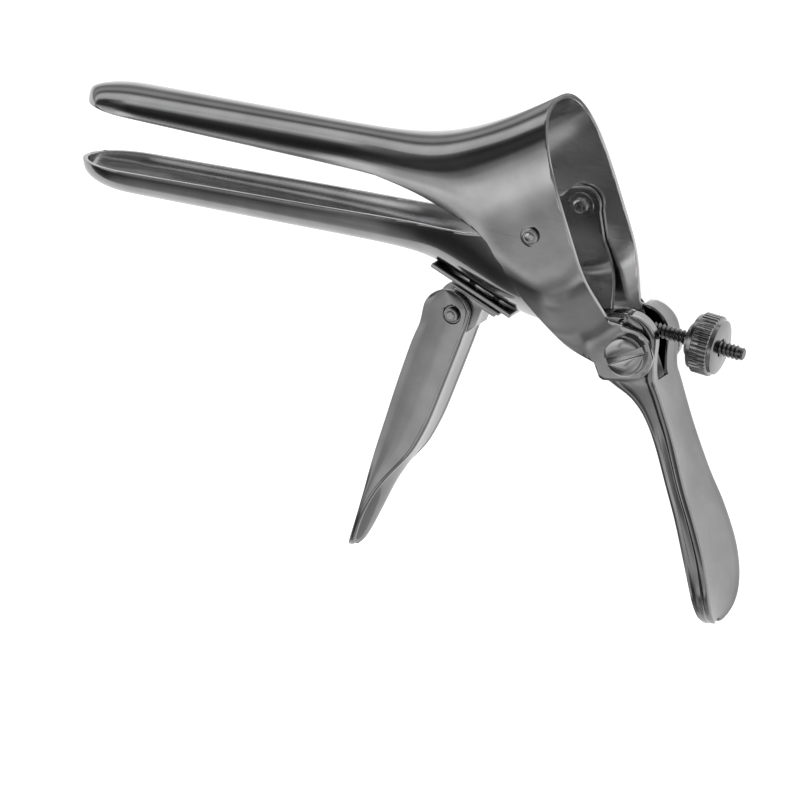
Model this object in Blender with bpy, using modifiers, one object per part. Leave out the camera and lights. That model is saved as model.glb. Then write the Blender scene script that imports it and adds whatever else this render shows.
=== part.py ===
"""A small bivalve speculum with a folding thumb lever and a rod with a knurled nut.

The instrument lies on its side. X runs from the blade tips (minus) to the nut (plus), Y runs
from the handle (minus) to the crown of the funnel (plus), and Z runs across the blades. The
blades pivot about Z through the origin, and the far pivot rivet stands on Z = 0. Outlines are
written in the side view, in metres from the pivot, with heights measured from the mid-plane.
"""
import math

import bmesh
import bpy
from mathutils import Matrix, Vector

# Sheet and fits
SHEET = 0.0010
HANDLE_SHEET = 0.0012
LEVER_SHEET = 0.0010
SEAT = 0.0003
NEST_GAP = 0.0005
PIN_GAP = 0.0003
HINGE_GAP = 0.0004

# Valves
BLADE_LENGTH = 0.075
BLADE_WIDTH = 0.017
COLLAR_WIDTH = 0.030
COLLAR_HEIGHT = 0.0258
THROAT_REACH = 0.0286
TIP_LENGTH = 0.0110
TIP_LIP = 0.0018
UPPER_SETBACK = 0.0013
UPPER_RISE = math.radians(4.6)
UPPER_EDGE_RISE = math.radians(6.8)
LOWER_KEEL_RISE = math.radians(5.2)
LOWER_EDGE_RISE = math.radians(4.1)
UPPER_THROAT_CROWN = 0.0150
UPPER_THROAT_EDGE = 0.0079
LOWER_THROAT_KEEL = -0.0086
LOWER_THROAT_EDGE = -0.0013
UPPER_STRAIGHT_END = -0.036
LOWER_STRAIGHT_END = -0.031
CHEEK_FLAT_RADIUS = 0.0120
NECK_RADIUS = 0.0256
LOWER_NECK_START = 0.0260
LOWER_NECK_END = 0.0400
CROWN_DEPTH = 0.0150
KEEL_DEPTH = 0.0075
EAR_RADIUS = 0.0042
RIM_TOP_X = 0.0002
RIM_LEAN = math.radians(18.2)

# Pivot rivets
RIVET_RADIUS = 0.0013
RIVET_HEAD_RADIUS = 0.0017
RIVET_HEAD = 0.0005
PIVOT_WASHER_RADIUS = 0.0028
PIVOT_WASHER = 0.0006

# Long handle and its screws
SCREW_X = 0.0182
SCREW_Y = -0.0244
SCREW_SHANK_RADIUS = 0.0018
SCREW_HEAD_RADIUS = 0.00425
SCREW_HEAD = 0.0017
SCREW_SLOT_WIDTH = 0.0010
SCREW_SLOT_DEPTH = 0.0008
SCREW_SLOT_ANGLE = math.radians(21.0)
LUG_RADIUS = 0.0057
HANDLE_TOP = -0.0166
HANDLE_TIP = -0.0805
PADDLE_HALF_WIDTH = 0.0096
HANDLE_NECK_HALF_WIDTH = 0.0069
HANDLE_CORNER = 0.0020
HANDLE_CROWNING = 0.0008
HANDLE_DRAFT = 0.0001
FORK_WIDTH = 0.0052
FORK_BOTTOM = -0.0305

# Hinge bracket under the lower valve
BRACKET_LEAN = math.radians(-28.0)
BRACKET_HALF_WIDTH = 0.0045
BRACKET_PLATE = 0.0009
SPRING_LEAF = 0.0006
HINGE_PLATE = 0.0010
BRACKET_LENGTH = 0.0195
BRACKET_MIDDLE = 0.58
SPRING_LENGTH = 0.0120
HINGE_LENGTH = 0.0100
BRACKET_RIVET_RADIUS = 0.0008
BRACKET_RIVET_HEAD_RADIUS = 0.0014
BRACKET_RIVET_HEAD = 0.0004
BRACKET_RIVET_PITCH = 0.0060
BRACKET_RIVET_REACH = 0.0006
KNUCKLE_HALF_WIDTH = 0.0032
KNUCKLE_RADIUS = 0.0030

# Thumb lever
LEVER_PIN_X = -0.0214
LEVER_PIN_Y = -0.0209
LEVER_PIN_RADIUS = 0.0010
LEVER_PIN_HEAD_RADIUS = 0.0015
LEVER_PIN_HEAD = 0.0004
LEVER_HEAD_RADIUS = 0.0052
LEVER_HEAD_OFFSET = 0.0011
LEVER_TIP = -0.0720
LEVER_STOP = -0.0247
LEVER_CORNER = 0.0014
LEVER_CROWNING = 0.0002

# Rod and knurled nut
ANCHOR_X = 0.0150
ANCHOR_Y = -0.0196
ROD_LEAN = math.radians(-10.2)
ROD_RADIUS = 0.0015
ROD_LENGTH = 0.0258
THREAD_PITCH = 0.0009
THREAD_DEPTH = 0.00025
ROD_EYE_RADIUS = 0.0021
ROD_EYE = 0.0020
ROD_PIN_RADIUS = 0.0007
CLEVIS_CHEEK = 0.0009
NUT_RADIUS = 0.00625
NUT_THICKNESS = 0.0060
NUT_CHAMFER = 0.0009
NUT_REACH = 0.01490
KNURL_COUNT = 26
KNURL_DEPTH = 0.0004
THRUST_WASHER = 0.0007
THRUST_WASHER_RADIUS = 0.0034

# Channel hollows: how far their cutters run out at the open side, and the most that a
# slanting rear wall widens the inset
OVERCUT = 0.010
STEEPEST_INSET = 1.8

# Values that follow from the sizes above
COLLAR_HALF = COLLAR_WIDTH / 2
BLADE_HALF = BLADE_WIDTH / 2
HALF_SPAN = COLLAR_HALF + SEAT + RIVET_HEAD
TIP_X = -(THROAT_REACH + BLADE_LENGTH)
CHEEK_TOP = 0.004
LEVER_HALF = KNUCKLE_HALF_WIDTH + HINGE_GAP + LEVER_SHEET
LUG_INNER = BLADE_HALF - SHEET
HANDLE_HALF = LUG_INNER - SEAT
HOLE_SEGMENTS = 20
SMALL_SEGMENTS = 14

# Side-view points of the funnel: crown x of the upper valve, then the cheek's front edge
UPPER_FUNNEL = (
    (-0.0360, -0.0360, 0.0079),
    (-0.0285, -0.0234, 0.0047),
    (-0.0222, -0.0118, -0.0003),
    (-0.0168, -0.0066, -0.0068),
    (-0.0115, -0.0008, -0.0155),
    (-0.0072, 0.0050, -0.0232),
    (-0.0034, 0.0112, -0.0267),
)
# Keel of the lower valve below the funnel, then the head end of the same section
LOWER_FUNNEL = (
    (-0.0310, -0.0086, -0.0310, 0.0010),
    (-0.0255, -0.0102, -0.0255, 0.0016),
    (-0.0197, -0.0133, -0.0195, 0.0026),
    (-0.0138, -0.0164, -0.0130, 0.0042),
    (-0.0080, -0.0195, -0.0075, 0.0065),
    (-0.0030, -0.0209, -0.0025, 0.0080),
    (0.0030, -0.0214, 0.0030, 0.0080),
    (0.0090, -0.0214, 0.0090, 0.0080),
    (0.0140, -0.0213, 0.0140, 0.0080),
)
# Side-view rows of the long handle: height, front edge and rear face
HANDLE_SIDE = (
    (-0.0163, 0.0173, 0.0190),
    (-0.0168, 0.0172, 0.0206),
    (-0.0182, 0.0168, 0.0224),
    (-0.0200, 0.0158, 0.0235),
    (-0.0223, 0.0138, 0.0238),
    (-0.0262, 0.0129, 0.0234),
    (-0.0295, 0.0131, 0.0234),
    (-0.0312, 0.0150, 0.0239),
    (-0.0335, 0.0184, 0.0247),
    (-0.0370, 0.0212, 0.0258),
    (-0.0425, 0.0236, 0.0276),
    (-0.0510, 0.0266, 0.0303),
    (-0.0575, 0.0289, 0.0328),
    (-0.0646, 0.0308, 0.0350),
    (-0.0700, 0.0320, 0.0360),
    (-0.0745, 0.0327, 0.0363),
    (-0.0778, 0.0331, 0.0361),
    (-0.0797, 0.0334, 0.0356),
    (-0.0805, 0.0337, 0.0350),
)
# The same for the thumb lever, below its round head
LEVER_SIDE = (
    (-0.0230, -0.0283, -0.0180),
    (-0.0255, -0.0294, -0.0190),
    (-0.0282, -0.0305, -0.0200),
    (-0.0355, -0.0331, -0.0229),
    (-0.0440, -0.0359, -0.0264),
    (-0.0504, -0.0380, -0.0299),
    (-0.0550, -0.0394, -0.0329),
    (-0.0585, -0.0404, -0.0351),
    (-0.0640, -0.0421, -0.0379),
    (-0.0682, -0.0436, -0.0401),
    (-0.0708, -0.0447, -0.0418),
    (-0.0720, -0.0453, -0.0432),
)


def clear_scene():
    """Remove every object that the scene starts with."""
    for piece in list(bpy.data.objects):
        bpy.data.objects.remove(piece)


def new_collection(name):
    """Add a collection under the scene's own."""
    collection = bpy.data.collections.new(name)
    bpy.context.scene.collection.children.link(collection)
    return collection


def steel(name, shade, roughness):
    """Make a polished steel material of one grey."""
    material = bpy.data.materials.new(name)
    material.use_nodes = True
    shader = material.node_tree.nodes["Principled BSDF"]
    shader.inputs["Base Color"].default_value = (shade, shade, shade * 1.01, 1.0)
    shader.inputs["Metallic"].default_value = 1.0
    shader.inputs["Roughness"].default_value = roughness
    return material


def new_axis(name, parent, x, y, z=0.0):
    """Add an empty on a joint's axis, at a point measured from the pivot and mid-plane."""
    empty = bpy.data.objects.new(name, None)
    empty["point"] = (x, y, z)
    empty.parent = parent
    offset = Vector(parent["point"]) if parent and parent.parent else Vector((0.0, 0.0, 0.0))
    empty.location = Vector((x, y, z)) - offset
    PARTS.objects.link(empty)
    return empty


def place(piece, axis, point=(0.0, 0.0, 0.0), turn=(0.0, 0.0, 0.0)):
    """Hang a piece on its axis with its own origin at a point of the side view."""
    piece.parent = axis
    offset = Vector(axis["point"]) if axis.parent else Vector((0.0, 0.0, 0.0))
    piece.location = Vector(point) - offset
    piece.rotation_euler = turn
    return piece


def new_piece(name, mesh, shade, roughness):
    """Link a mesh as a named piece of the instrument with its own material."""
    piece = bpy.data.objects.new(name, mesh)
    PARTS.objects.link(piece)
    mesh.materials.append(steel(name + "_steel", shade, roughness))
    return piece


def new_cutter(name, mesh):
    """Link a mesh as a cutter, which is not rendered."""
    piece = bpy.data.objects.new(name, mesh)
    CUTTERS.objects.link(piece)
    piece.hide_render = True
    piece.display_type = "WIRE"
    return piece


def mesh_from(name, bm, smooth=True):
    """Write a bmesh out with outward normals and sharp edges kept."""
    bmesh.ops.recalc_face_normals(bm, faces=bm.faces)
    mesh = bpy.data.meshes.new(name)
    bm.to_mesh(mesh)
    bm.free()
    if smooth:
        mesh.shade_smooth()
        mesh.set_sharp_from_angle(angle=math.radians(32.0))
    return mesh


def prism_mesh(name, outline, low, high):
    """Extrude a side-view outline from one height to another."""
    bm = bmesh.new()
    corners = [bm.verts.new((x, y, low)) for x, y in outline]
    base = bm.faces.new(corners)
    grown = bmesh.ops.extrude_face_region(bm, geom=[base])
    lifted = [item for item in grown["geom"] if isinstance(item, bmesh.types.BMVert)]
    bmesh.ops.translate(bm, verts=lifted, vec=(0.0, 0.0, high - low))
    return mesh_from(name, bm)


def drum_mesh(name, radius, low, high, segments=SMALL_SEGMENTS):
    """Make a plain cylinder about local Z between two heights."""
    bm = bmesh.new()
    bmesh.ops.create_cone(
        bm,
        cap_ends=True,
        segments=segments,
        radius1=radius,
        radius2=radius,
        depth=high - low,
    )
    bmesh.ops.translate(bm, verts=bm.verts, vec=(0.0, 0.0, (low + high) / 2))
    return mesh_from(name, bm)


def box_mesh(name, low, high, bevel=0.0):
    """Make a box between two corners, with its edges beveled."""
    bm = bmesh.new()
    bmesh.ops.create_cube(bm, size=1.0)
    size = Vector(high) - Vector(low)
    bmesh.ops.scale(bm, vec=size, verts=bm.verts)
    bmesh.ops.translate(bm, vec=(Vector(high) + Vector(low)) / 2, verts=bm.verts)
    if bevel > 0.0:
        bmesh.ops.bevel(bm, geom=bm.edges, offset=bevel, segments=1, affect="EDGES")
    return mesh_from(name, bm)


def turned(piece, segments, closed):
    """Spin a profile mesh about local Z into a solid of revolution."""
    screw = piece.modifiers.new("Turned", "SCREW")
    screw.axis = "Z"
    screw.steps = segments
    screw.render_steps = segments
    screw.use_merge_vertices = not closed
    screw.merge_threshold = 0.00001
    screw.use_smooth_shade = True
    return piece


def profile_mesh(name, points, closed):
    """Make the profile of a turned piece, at +X and from top to bottom."""
    bm = bmesh.new()
    corners = [bm.verts.new((radius, 0.0, height)) for radius, height in points]
    for first, second in zip(corners, corners[1:]):
        bm.edges.new((first, second))
    if closed:
        bm.edges.new((corners[-1], corners[0]))
    mesh = bpy.data.meshes.new(name)
    bm.to_mesh(mesh)
    bm.free()
    return mesh


def cut(piece, cutter, operation="DIFFERENCE"):
    """Cut a piece, join it or keep only what lies inside the cutter."""
    boolean = piece.modifiers.new(cutter.name, "BOOLEAN")
    boolean.object = cutter
    boolean.operation = operation
    boolean.solver = "EXACT"


def smooth_rows(rows, steps):
    """Run a Catmull-Rom curve through rows of any width."""
    found = []
    count = len(rows)
    for index in range(count - 1):
        before = rows[max(index - 1, 0)]
        first = rows[index]
        second = rows[index + 1]
        after = rows[min(index + 2, count - 1)]
        for step in range(steps):
            t = step / steps
            row = []
            for a, b, c, d in zip(before, first, second, after):
                row.append(
                    0.5
                    * (
                        2 * b
                        + (c - a) * t
                        + (2 * a - 5 * b + 4 * c - d) * t * t
                        + (3 * b - a - 3 * c + d) * t ** 3
                    )
                )
            found.append(tuple(row))
    found.append(tuple(rows[-1]))
    return found


def ease(value, low, high):
    """Rise smoothly from 0 at the low value to 1 at the high one."""
    t = min(max((value - low) / (high - low), 0.0), 1.0)
    return t * t * (3.0 - 2.0 * t)


def outer_half(radius):
    """Half width of the outer collar at a distance from the pivot."""
    share = ease(radius, CHEEK_FLAT_RADIUS, NECK_RADIUS)
    return COLLAR_HALF + (BLADE_HALF - COLLAR_HALF) * share


def inner_half(radius):
    """Half width of the nested collar, which grows to the full blade past the neck."""
    step = 0.0001
    slope = (outer_half(radius + step) - outer_half(radius - step)) / (2 * step)
    nested = outer_half(radius) - SHEET * math.sqrt(1 + slope * slope) - NEST_GAP
    share = ease(radius, LOWER_NECK_START, LOWER_NECK_END)
    return nested + (BLADE_HALF - nested) * share


def upper_crown(x):
    """Height of the upper valve's crown line at an x."""
    if x <= UPPER_STRAIGHT_END:
        return UPPER_THROAT_CROWN + (UPPER_STRAIGHT_END - x) * math.tan(UPPER_RISE)
    span = RIM_TOP_X - UPPER_STRAIGHT_END
    t = (x - UPPER_STRAIGHT_END) / span
    start_slope = -math.tan(UPPER_RISE) * span
    end_slope = 0.56 * span
    if t > 1.0:
        return COLLAR_HEIGHT + (x - RIM_TOP_X) * 0.56
    return (
        (2 * t ** 3 - 3 * t ** 2 + 1) * UPPER_THROAT_CROWN
        + (t ** 3 - 2 * t ** 2 + t) * start_slope
        + (3 * t ** 2 - 2 * t ** 3) * COLLAR_HEIGHT
        + (t ** 3 - t ** 2) * end_slope
    )


def upper_edge(x):
    """Height of the upper blade's lower edge at an x of its straight part."""
    return UPPER_THROAT_EDGE + (UPPER_STRAIGHT_END - x) * math.tan(UPPER_EDGE_RISE)


def lower_keel(x):
    """Height of the lower blade's keel at an x of its straight part."""
    return LOWER_THROAT_KEEL + (LOWER_STRAIGHT_END - x) * math.tan(LOWER_KEEL_RISE)


def lower_edge(x):
    """Height of the lower blade's upper edge at an x of its straight part."""
    return LOWER_THROAT_EDGE + (LOWER_STRAIGHT_END - x) * math.tan(LOWER_EDGE_RISE)


def blade_stations(tip, straight_end, back_at, edge_at):
    """Sections of a straight blade, from its rounded tip to its straight end."""
    stations = []
    spoon_end = tip + TIP_LENGTH
    for index in range(7):
        angle = math.pi / 2 * (1 - index / 7)
        x = spoon_end - TIP_LENGTH * math.sin(angle)
        stations.append((x, math.cos(angle)))
    for index in range(6):
        stations.append((spoon_end + (straight_end - spoon_end) * index / 6, 1.0))
    sections = []
    for x, fullness in stations:
        edge = edge_at(x)
        depth = abs(back_at(x) - edge)
        depth = TIP_LIP + (depth - TIP_LIP) * fullness
        side = 1.0 if back_at(x) > edge else -1.0
        back = Vector((x, edge + side * depth))
        foot = Vector((x, edge - side * 0.0016))
        sections.append((back, foot, depth, fullness))
    return sections


def section_points(section, width_at, around, along):
    """Points of one half section, from the back line over the corner to the foot."""
    back, foot, depth, fullness = section
    length = (foot - back).length
    toward = (foot - back) / length
    corner = min(depth, length * 0.9)
    points = []
    for index in range(around):
        angle = math.pi / 2 * index / around
        spot = back + toward * corner * (1 - math.cos(angle))
        points.append((spot.x, spot.y, width_at(spot, back, foot) * math.sin(angle) * fullness))
    for index in range(along + 1):
        spot = back + toward * (corner + (length - corner) * index / along)
        points.append((spot.x, spot.y, width_at(spot, back, foot) * fullness))
    return points


def valve_mesh(name, sections, width_at, along):
    """Loft the near half of a valve's outer surface through its sections."""
    bm = bmesh.new()
    rows = []
    for section in sections:
        points = section_points(section, width_at, 6, along)
        rows.append([bm.verts.new(point) for point in points])
    for first, second in zip(rows, rows[1:]):
        for index in range(len(first) - 1):
            bm.faces.new((first[index], first[index + 1], second[index + 1], second[index]))
    return mesh_from(name, bm)


def outward_up(mesh, sign):
    """Turn the faces of a half valve so that its back looks away from the pivot."""
    bm = bmesh.new()
    bm.from_mesh(mesh)
    lean = sum(face.normal.z * face.calc_area() for face in bm.faces)
    if lean * sign < 0.0:
        bmesh.ops.reverse_faces(bm, faces=bm.faces)
    bm.to_mesh(mesh)
    bm.free()


def sheet_from_half(piece, thickness):
    """Mirror a near half about the mid-plane and give the sheet its thickness inward."""
    mirror = piece.modifiers.new("Both sides", "MIRROR")
    mirror.use_axis = (False, False, True)
    mirror.merge_threshold = 0.00001
    solid = piece.modifiers.new("Sheet", "SOLIDIFY")
    solid.thickness = thickness
    solid.offset = -1.0
    solid.use_even_offset = True


def upper_width(spot, back, foot):
    """Half width of the upper valve: the pivot's cheek below, carried straight up above."""
    if spot.y > CHEEK_TOP:
        if foot.y < CHEEK_TOP:
            share = (back.y - CHEEK_TOP) / (back.y - foot.y)
            spot = back + (foot - back) * share
        else:
            spot = foot
    return outer_half(spot.length)


def lower_width(spot, back, foot):
    """Half width of the lower valve, the same at every angle round the pivot."""
    return inner_half(spot.length)


def rim_point(drop):
    """A point of the rear rim line, a distance below its top."""
    return (RIM_TOP_X + drop * math.sin(RIM_LEAN), COLLAR_HEIGHT - drop * math.cos(RIM_LEAN))


def arc_points(x, y, radius, start, end, steps):
    """Points along an arc in the side view, angles in degrees."""
    points = []
    for index in range(steps + 1):
        angle = math.radians(start + (end - start) * index / steps)
        points.append((x + radius * math.cos(angle), y + radius * math.sin(angle)))
    return points


def upper_outline():
    """What is kept of the upper valve in the side view: blade, cheek and screw lug."""
    edge_rows = [(x, y) for _, x, y in UPPER_FUNNEL]
    outline = [(TIP_X - 0.004, 0.060), (TIP_X - 0.004, upper_edge(TIP_X - 0.004))]
    outline.append((-0.050, upper_edge(-0.050)))
    outline += smooth_rows(edge_rows, 4)
    corner = (SCREW_X - LUG_RADIUS, SCREW_Y - LUG_RADIUS)
    outline.append((corner[0] - 0.0002, corner[1] + 0.0005))
    outline.append((corner[0] + 0.0006, corner[1]))
    outline += arc_points(SCREW_X, SCREW_Y, LUG_RADIUS, -90.0, 62.0, 10)
    drop = (COLLAR_HEIGHT - (SCREW_Y + LUG_RADIUS + 0.0010)) / math.cos(RIM_LEAN)
    outline.append(rim_point(drop))
    outline.append(rim_point(-0.035))
    return outline


def lower_outline():
    """What is kept of the lower valve in the side view: blade, cheek and pivot ear."""
    outline = [(TIP_X - 0.004, -0.060), (0.0128, -0.060), (0.0108, -0.0240), (0.0104, -0.0197)]
    outline += [(0.0081, -0.0137), (0.0050, -0.0070)]
    outline += arc_points(0.0, 0.0, EAR_RADIUS, -14.0, 136.0, 10)
    outline += [(-0.0062, 0.0008), (-0.0105, -0.0010), (-0.0160, -0.0017)]
    outline += [(-0.0230, -0.0017), (LOWER_STRAIGHT_END, LOWER_THROAT_EDGE)]
    outline.append((TIP_X - 0.004, lower_edge(TIP_X - 0.004)))
    return outline


def both_sides(name, axis, radius, x, y):
    """A cutter for a hole right through the instrument."""
    cutter = new_cutter(name, drum_mesh(name, radius, -0.020, 0.020, HOLE_SEGMENTS))
    return place(cutter, axis, (x, y, 0.0))


def build_upper_blade(axis):
    """The upper blade with the outer collar, its cheeks and the two screw lugs."""
    sections = blade_stations(
        TIP_X + UPPER_SETBACK, UPPER_STRAIGHT_END, upper_crown, upper_edge
    )
    rows = []
    for crown_x, edge_x, edge_y in UPPER_FUNNEL:
        rows.append((crown_x, upper_crown(crown_x), edge_x - 0.0012, edge_y - 0.0020))
    rows.append((0.0000, upper_crown(0.0000), 0.0135, -0.0350))
    rows.append((0.0038, upper_crown(0.0038), 0.0195, -0.0350))
    rows.append((0.0080, upper_crown(0.0080), 0.0275, -0.0350))
    for crown_x, crown_y, foot_x, foot_y in smooth_rows(rows, 2):
        back = Vector((crown_x, crown_y))
        foot = Vector((foot_x, foot_y))
        drop = crown_y - upper_edge(min(crown_x, UPPER_STRAIGHT_END))
        depth = drop + (CROWN_DEPTH - drop) * ease(crown_x, UPPER_STRAIGHT_END, -0.0090)
        sections.append((back, foot, depth, 1.0))
    mesh = valve_mesh("upper_blade", sections, upper_width, 13)
    outward_up(mesh, 1.0)
    blade = new_piece("upper_blade", mesh, 0.42, 0.22)
    place(blade, axis)
    sheet_from_half(blade, SHEET)
    keep = new_cutter("upper_outline", prism_mesh("upper_outline", upper_outline(), -0.03, 0.03))
    cut(blade, place(keep, axis), "INTERSECT")
    cut(blade, both_sides("upper_pivot_hole", axis, RIVET_RADIUS + PIN_GAP, 0.0, 0.0))
    screw_hole = SCREW_SHANK_RADIUS + PIN_GAP
    cut(blade, both_sides("upper_screw_hole", axis, screw_hole, SCREW_X, SCREW_Y))


def build_lower_blade(axis):
    """The lower blade with the nested collar and its two pivot ears."""
    sections = blade_stations(TIP_X, LOWER_STRAIGHT_END, lower_keel, lower_edge)
    for keel_x, keel_y, head_x, head_y in smooth_rows(LOWER_FUNNEL, 2):
        back = Vector((keel_x, keel_y))
        foot = Vector((head_x, head_y))
        depth = LOWER_THROAT_EDGE - LOWER_THROAT_KEEL
        depth += (KEEL_DEPTH - depth) * ease(keel_x, LOWER_STRAIGHT_END, -0.0080)
        sections.append((back, foot, depth, 1.0))
    mesh = valve_mesh("lower_blade", sections, lower_width, 9)
    outward_up(mesh, 1.0)
    blade = new_piece("lower_blade", mesh, 0.36, 0.24)
    place(blade, axis)
    sheet_from_half(blade, SHEET)
    keep = new_cutter("lower_outline", prism_mesh("lower_outline", lower_outline(), -0.03, 0.03))
    cut(blade, place(keep, axis), "INTERSECT")
    cut(blade, both_sides("lower_pivot_hole", axis, RIVET_RADIUS + PIN_GAP, 0.0, 0.0))
    for index, along in enumerate(bracket_rivets()):
        hole = drum_mesh("keel_hole", BRACKET_RIVET_RADIUS + PIN_GAP, -0.004, 0.004)
        cutter = new_cutter("keel_hole_" + str(index), hole)
        place(cutter, axis, bracket_point(along, 0.0), bracket_turn())
        cut(blade, cutter)


def bracket_point(along, below):
    """A point of the bracket: a distance along its slope and below the keel's ramp."""
    x = LOWER_FUNNEL[1][0] + along * math.cos(BRACKET_LEAN)
    y = LOWER_FUNNEL[1][1] + along * math.sin(BRACKET_LEAN)
    return (x + below * math.sin(BRACKET_LEAN), y - below * math.cos(BRACKET_LEAN), 0.0)


def bracket_turn():
    """Rotation that stands local Z on the bracket's slope, pointing out of the keel."""
    return (math.pi / 2, 0.0, BRACKET_LEAN)


def bracket_rivets():
    """Distances along the bracket of its two rivets."""
    middle = BRACKET_LENGTH * BRACKET_MIDDLE
    return (middle - BRACKET_RIVET_PITCH / 2, middle + BRACKET_RIVET_PITCH / 2)


def bracket_box(name, start, length, top, thickness, half_width):
    """A plate of the bracket, in its own slope frame with local Z out of the keel."""
    low = (start, -half_width, top)
    high = (start + length, half_width, top + thickness)
    return box_mesh(name, low, high, 0.00015)


def pierce_bracket(piece, axis, name, depth):
    """Drill the two bracket rivet holes into a plate or block, down to a depth."""
    for index, along in enumerate(bracket_rivets()):
        hole = drum_mesh(name, BRACKET_RIVET_RADIUS + PIN_GAP, -0.002, depth)
        cutter = new_cutter(name + "_" + str(index), hole)
        place(cutter, axis, bracket_point(along, 0.0), bracket_turn())
        cut(piece, cutter)


def build_bracket(axis):
    """The riveted bracket: keel plate, leaf spring and hinge block with its knuckle."""
    top = SEAT
    middle = BRACKET_LENGTH * BRACKET_MIDDLE
    plate = bracket_box("bracket_plate", 0.0, BRACKET_LENGTH, top, BRACKET_PLATE,
                        BRACKET_HALF_WIDTH)
    plate = new_piece("bracket_plate", plate, 0.40, 0.30)
    place(plate, axis, bracket_point(0.0, 0.0), bracket_turn())
    pierce_bracket(plate, axis, "bracket_plate_hole", 0.006)
    top += BRACKET_PLATE + SEAT
    leaf = bracket_box("spring_leaf", middle - SPRING_LENGTH / 2, SPRING_LENGTH, top,
                       SPRING_LEAF, BRACKET_HALF_WIDTH)
    leaf = new_piece("spring_leaf", leaf, 0.34, 0.30)
    place(leaf, axis, bracket_point(0.0, 0.0), bracket_turn())
    pierce_bracket(leaf, axis, "spring_leaf_hole", 0.006)
    top += SPRING_LEAF + SEAT
    block = bracket_box("hinge_block", middle - HINGE_LENGTH / 2, HINGE_LENGTH, top,
                        HINGE_PLATE, KNUCKLE_HALF_WIDTH)
    block = new_piece("hinge_block", block, 0.30, 0.34)
    place(block, axis, bracket_point(0.0, 0.0), bracket_turn())
    start = bracket_point(middle - HINGE_LENGTH / 2 + 0.0004, top + HINGE_PLATE * 0.5)
    end = bracket_point(middle + HINGE_LENGTH / 2 - 0.0030, top + HINGE_PLATE * 0.5)
    outline = [(end[0], end[1]), (start[0], start[1])]
    outline += arc_points(LEVER_PIN_X, LEVER_PIN_Y, KNUCKLE_RADIUS, 165.0, 270.0, 7)
    outline.append((LEVER_PIN_X + 0.0030, LEVER_STOP + SEAT))
    outline.append((LEVER_PIN_X + 0.0046, LEVER_STOP + SEAT + 0.0012))
    knuckle = prism_mesh("knuckle", outline, -KNUCKLE_HALF_WIDTH, KNUCKLE_HALF_WIDTH)
    cut(block, place(new_cutter("knuckle", knuckle), axis), "UNION")
    bottom = top + HINGE_PLATE
    pierce_bracket(block, axis, "hinge_block_hole", bottom + BRACKET_RIVET_REACH + PIN_GAP)
    hole = LEVER_PIN_RADIUS + PIN_GAP
    cut(block, both_sides("knuckle_hole", axis, hole, LEVER_PIN_X, LEVER_PIN_Y))
    for name, along in zip(("bracket_rivet_front", "bracket_rivet_rear"), bracket_rivets()):
        head = -SHEET - SEAT
        points = [
            (0.0, bottom + BRACKET_RIVET_REACH),
            (BRACKET_RIVET_RADIUS, bottom + BRACKET_RIVET_REACH),
            (BRACKET_RIVET_RADIUS, head),
            (BRACKET_RIVET_HEAD_RADIUS, head),
            (BRACKET_RIVET_HEAD_RADIUS, head - BRACKET_RIVET_HEAD * 0.6),
            (0.0, head - BRACKET_RIVET_HEAD),
        ]
        rivet = new_piece(name, profile_mesh(name, points, False), 0.45, 0.25)
        turned(rivet, SMALL_SEGMENTS, False)
        place(rivet, axis, bracket_point(along, 0.0), bracket_turn())


def build_pivot(axis, side, name):
    """A pivot rivet and the ring under its inner head, on the near or the far side."""
    face = COLLAR_HALF + SEAT
    ear = inner_half(0.0) - SHEET
    ring_top = ear - SEAT
    inner_head = ring_top - PIVOT_WASHER - SEAT
    points = [
        (0.0, face + RIVET_HEAD),
        (RIVET_HEAD_RADIUS - 0.0002, face + RIVET_HEAD),
        (RIVET_HEAD_RADIUS, face + RIVET_HEAD * 0.5),
        (RIVET_HEAD_RADIUS, face),
        (RIVET_RADIUS, face),
        (RIVET_RADIUS, inner_head),
        (RIVET_HEAD_RADIUS, inner_head),
        (RIVET_HEAD_RADIUS * 0.8, inner_head - RIVET_HEAD),
        (0.0, inner_head - RIVET_HEAD),
    ]
    turn = (0.0, 0.0, 0.0) if side > 0 else (math.pi, 0.0, 0.0)
    rivet = new_piece("pivot_rivet_" + name, profile_mesh("rivet", points, False), 0.50, 0.20)
    place(turned(rivet, HOLE_SEGMENTS, False), axis, turn=turn)
    bore = RIVET_RADIUS + PIN_GAP
    points = [
        (PIVOT_WASHER_RADIUS, ring_top),
        (PIVOT_WASHER_RADIUS, ring_top - PIVOT_WASHER),
        (bore, ring_top - PIVOT_WASHER),
        (bore, ring_top),
    ]
    ring = new_piece("pivot_washer_" + name, profile_mesh("ring", points, True), 0.45, 0.25)
    place(turned(ring, HOLE_SEGMENTS, True), axis, turn=turn)


def handle_rows():
    """Rows of the long handle: height, front edge, rear face and half width."""
    neck = HANDLE_NECK_HALF_WIDTH
    wide = PADDLE_HALF_WIDTH
    top = HANDLE_HALF
    halves = [top] * 7 + [top - HANDLE_DRAFT, (top + neck) / 2, neck, neck]
    halves += [neck + (wide - neck) * share for share in (0.42, 0.78, 1.0, 1.0)]
    halves += [wide * share for share in (0.92, 0.72, 0.42, 0.16)]
    top_move = HANDLE_TOP - HANDLE_SIDE[0][0]
    tip_move = HANDLE_TIP - HANDLE_SIDE[-1][0]
    moves = [top_move] * 4 + [0.0] * 10 + [tip_move] * 5
    return [
        (y + move, front, rear, half)
        for (y, front, rear), move, half in zip(HANDLE_SIDE, moves, halves)
    ]


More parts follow.
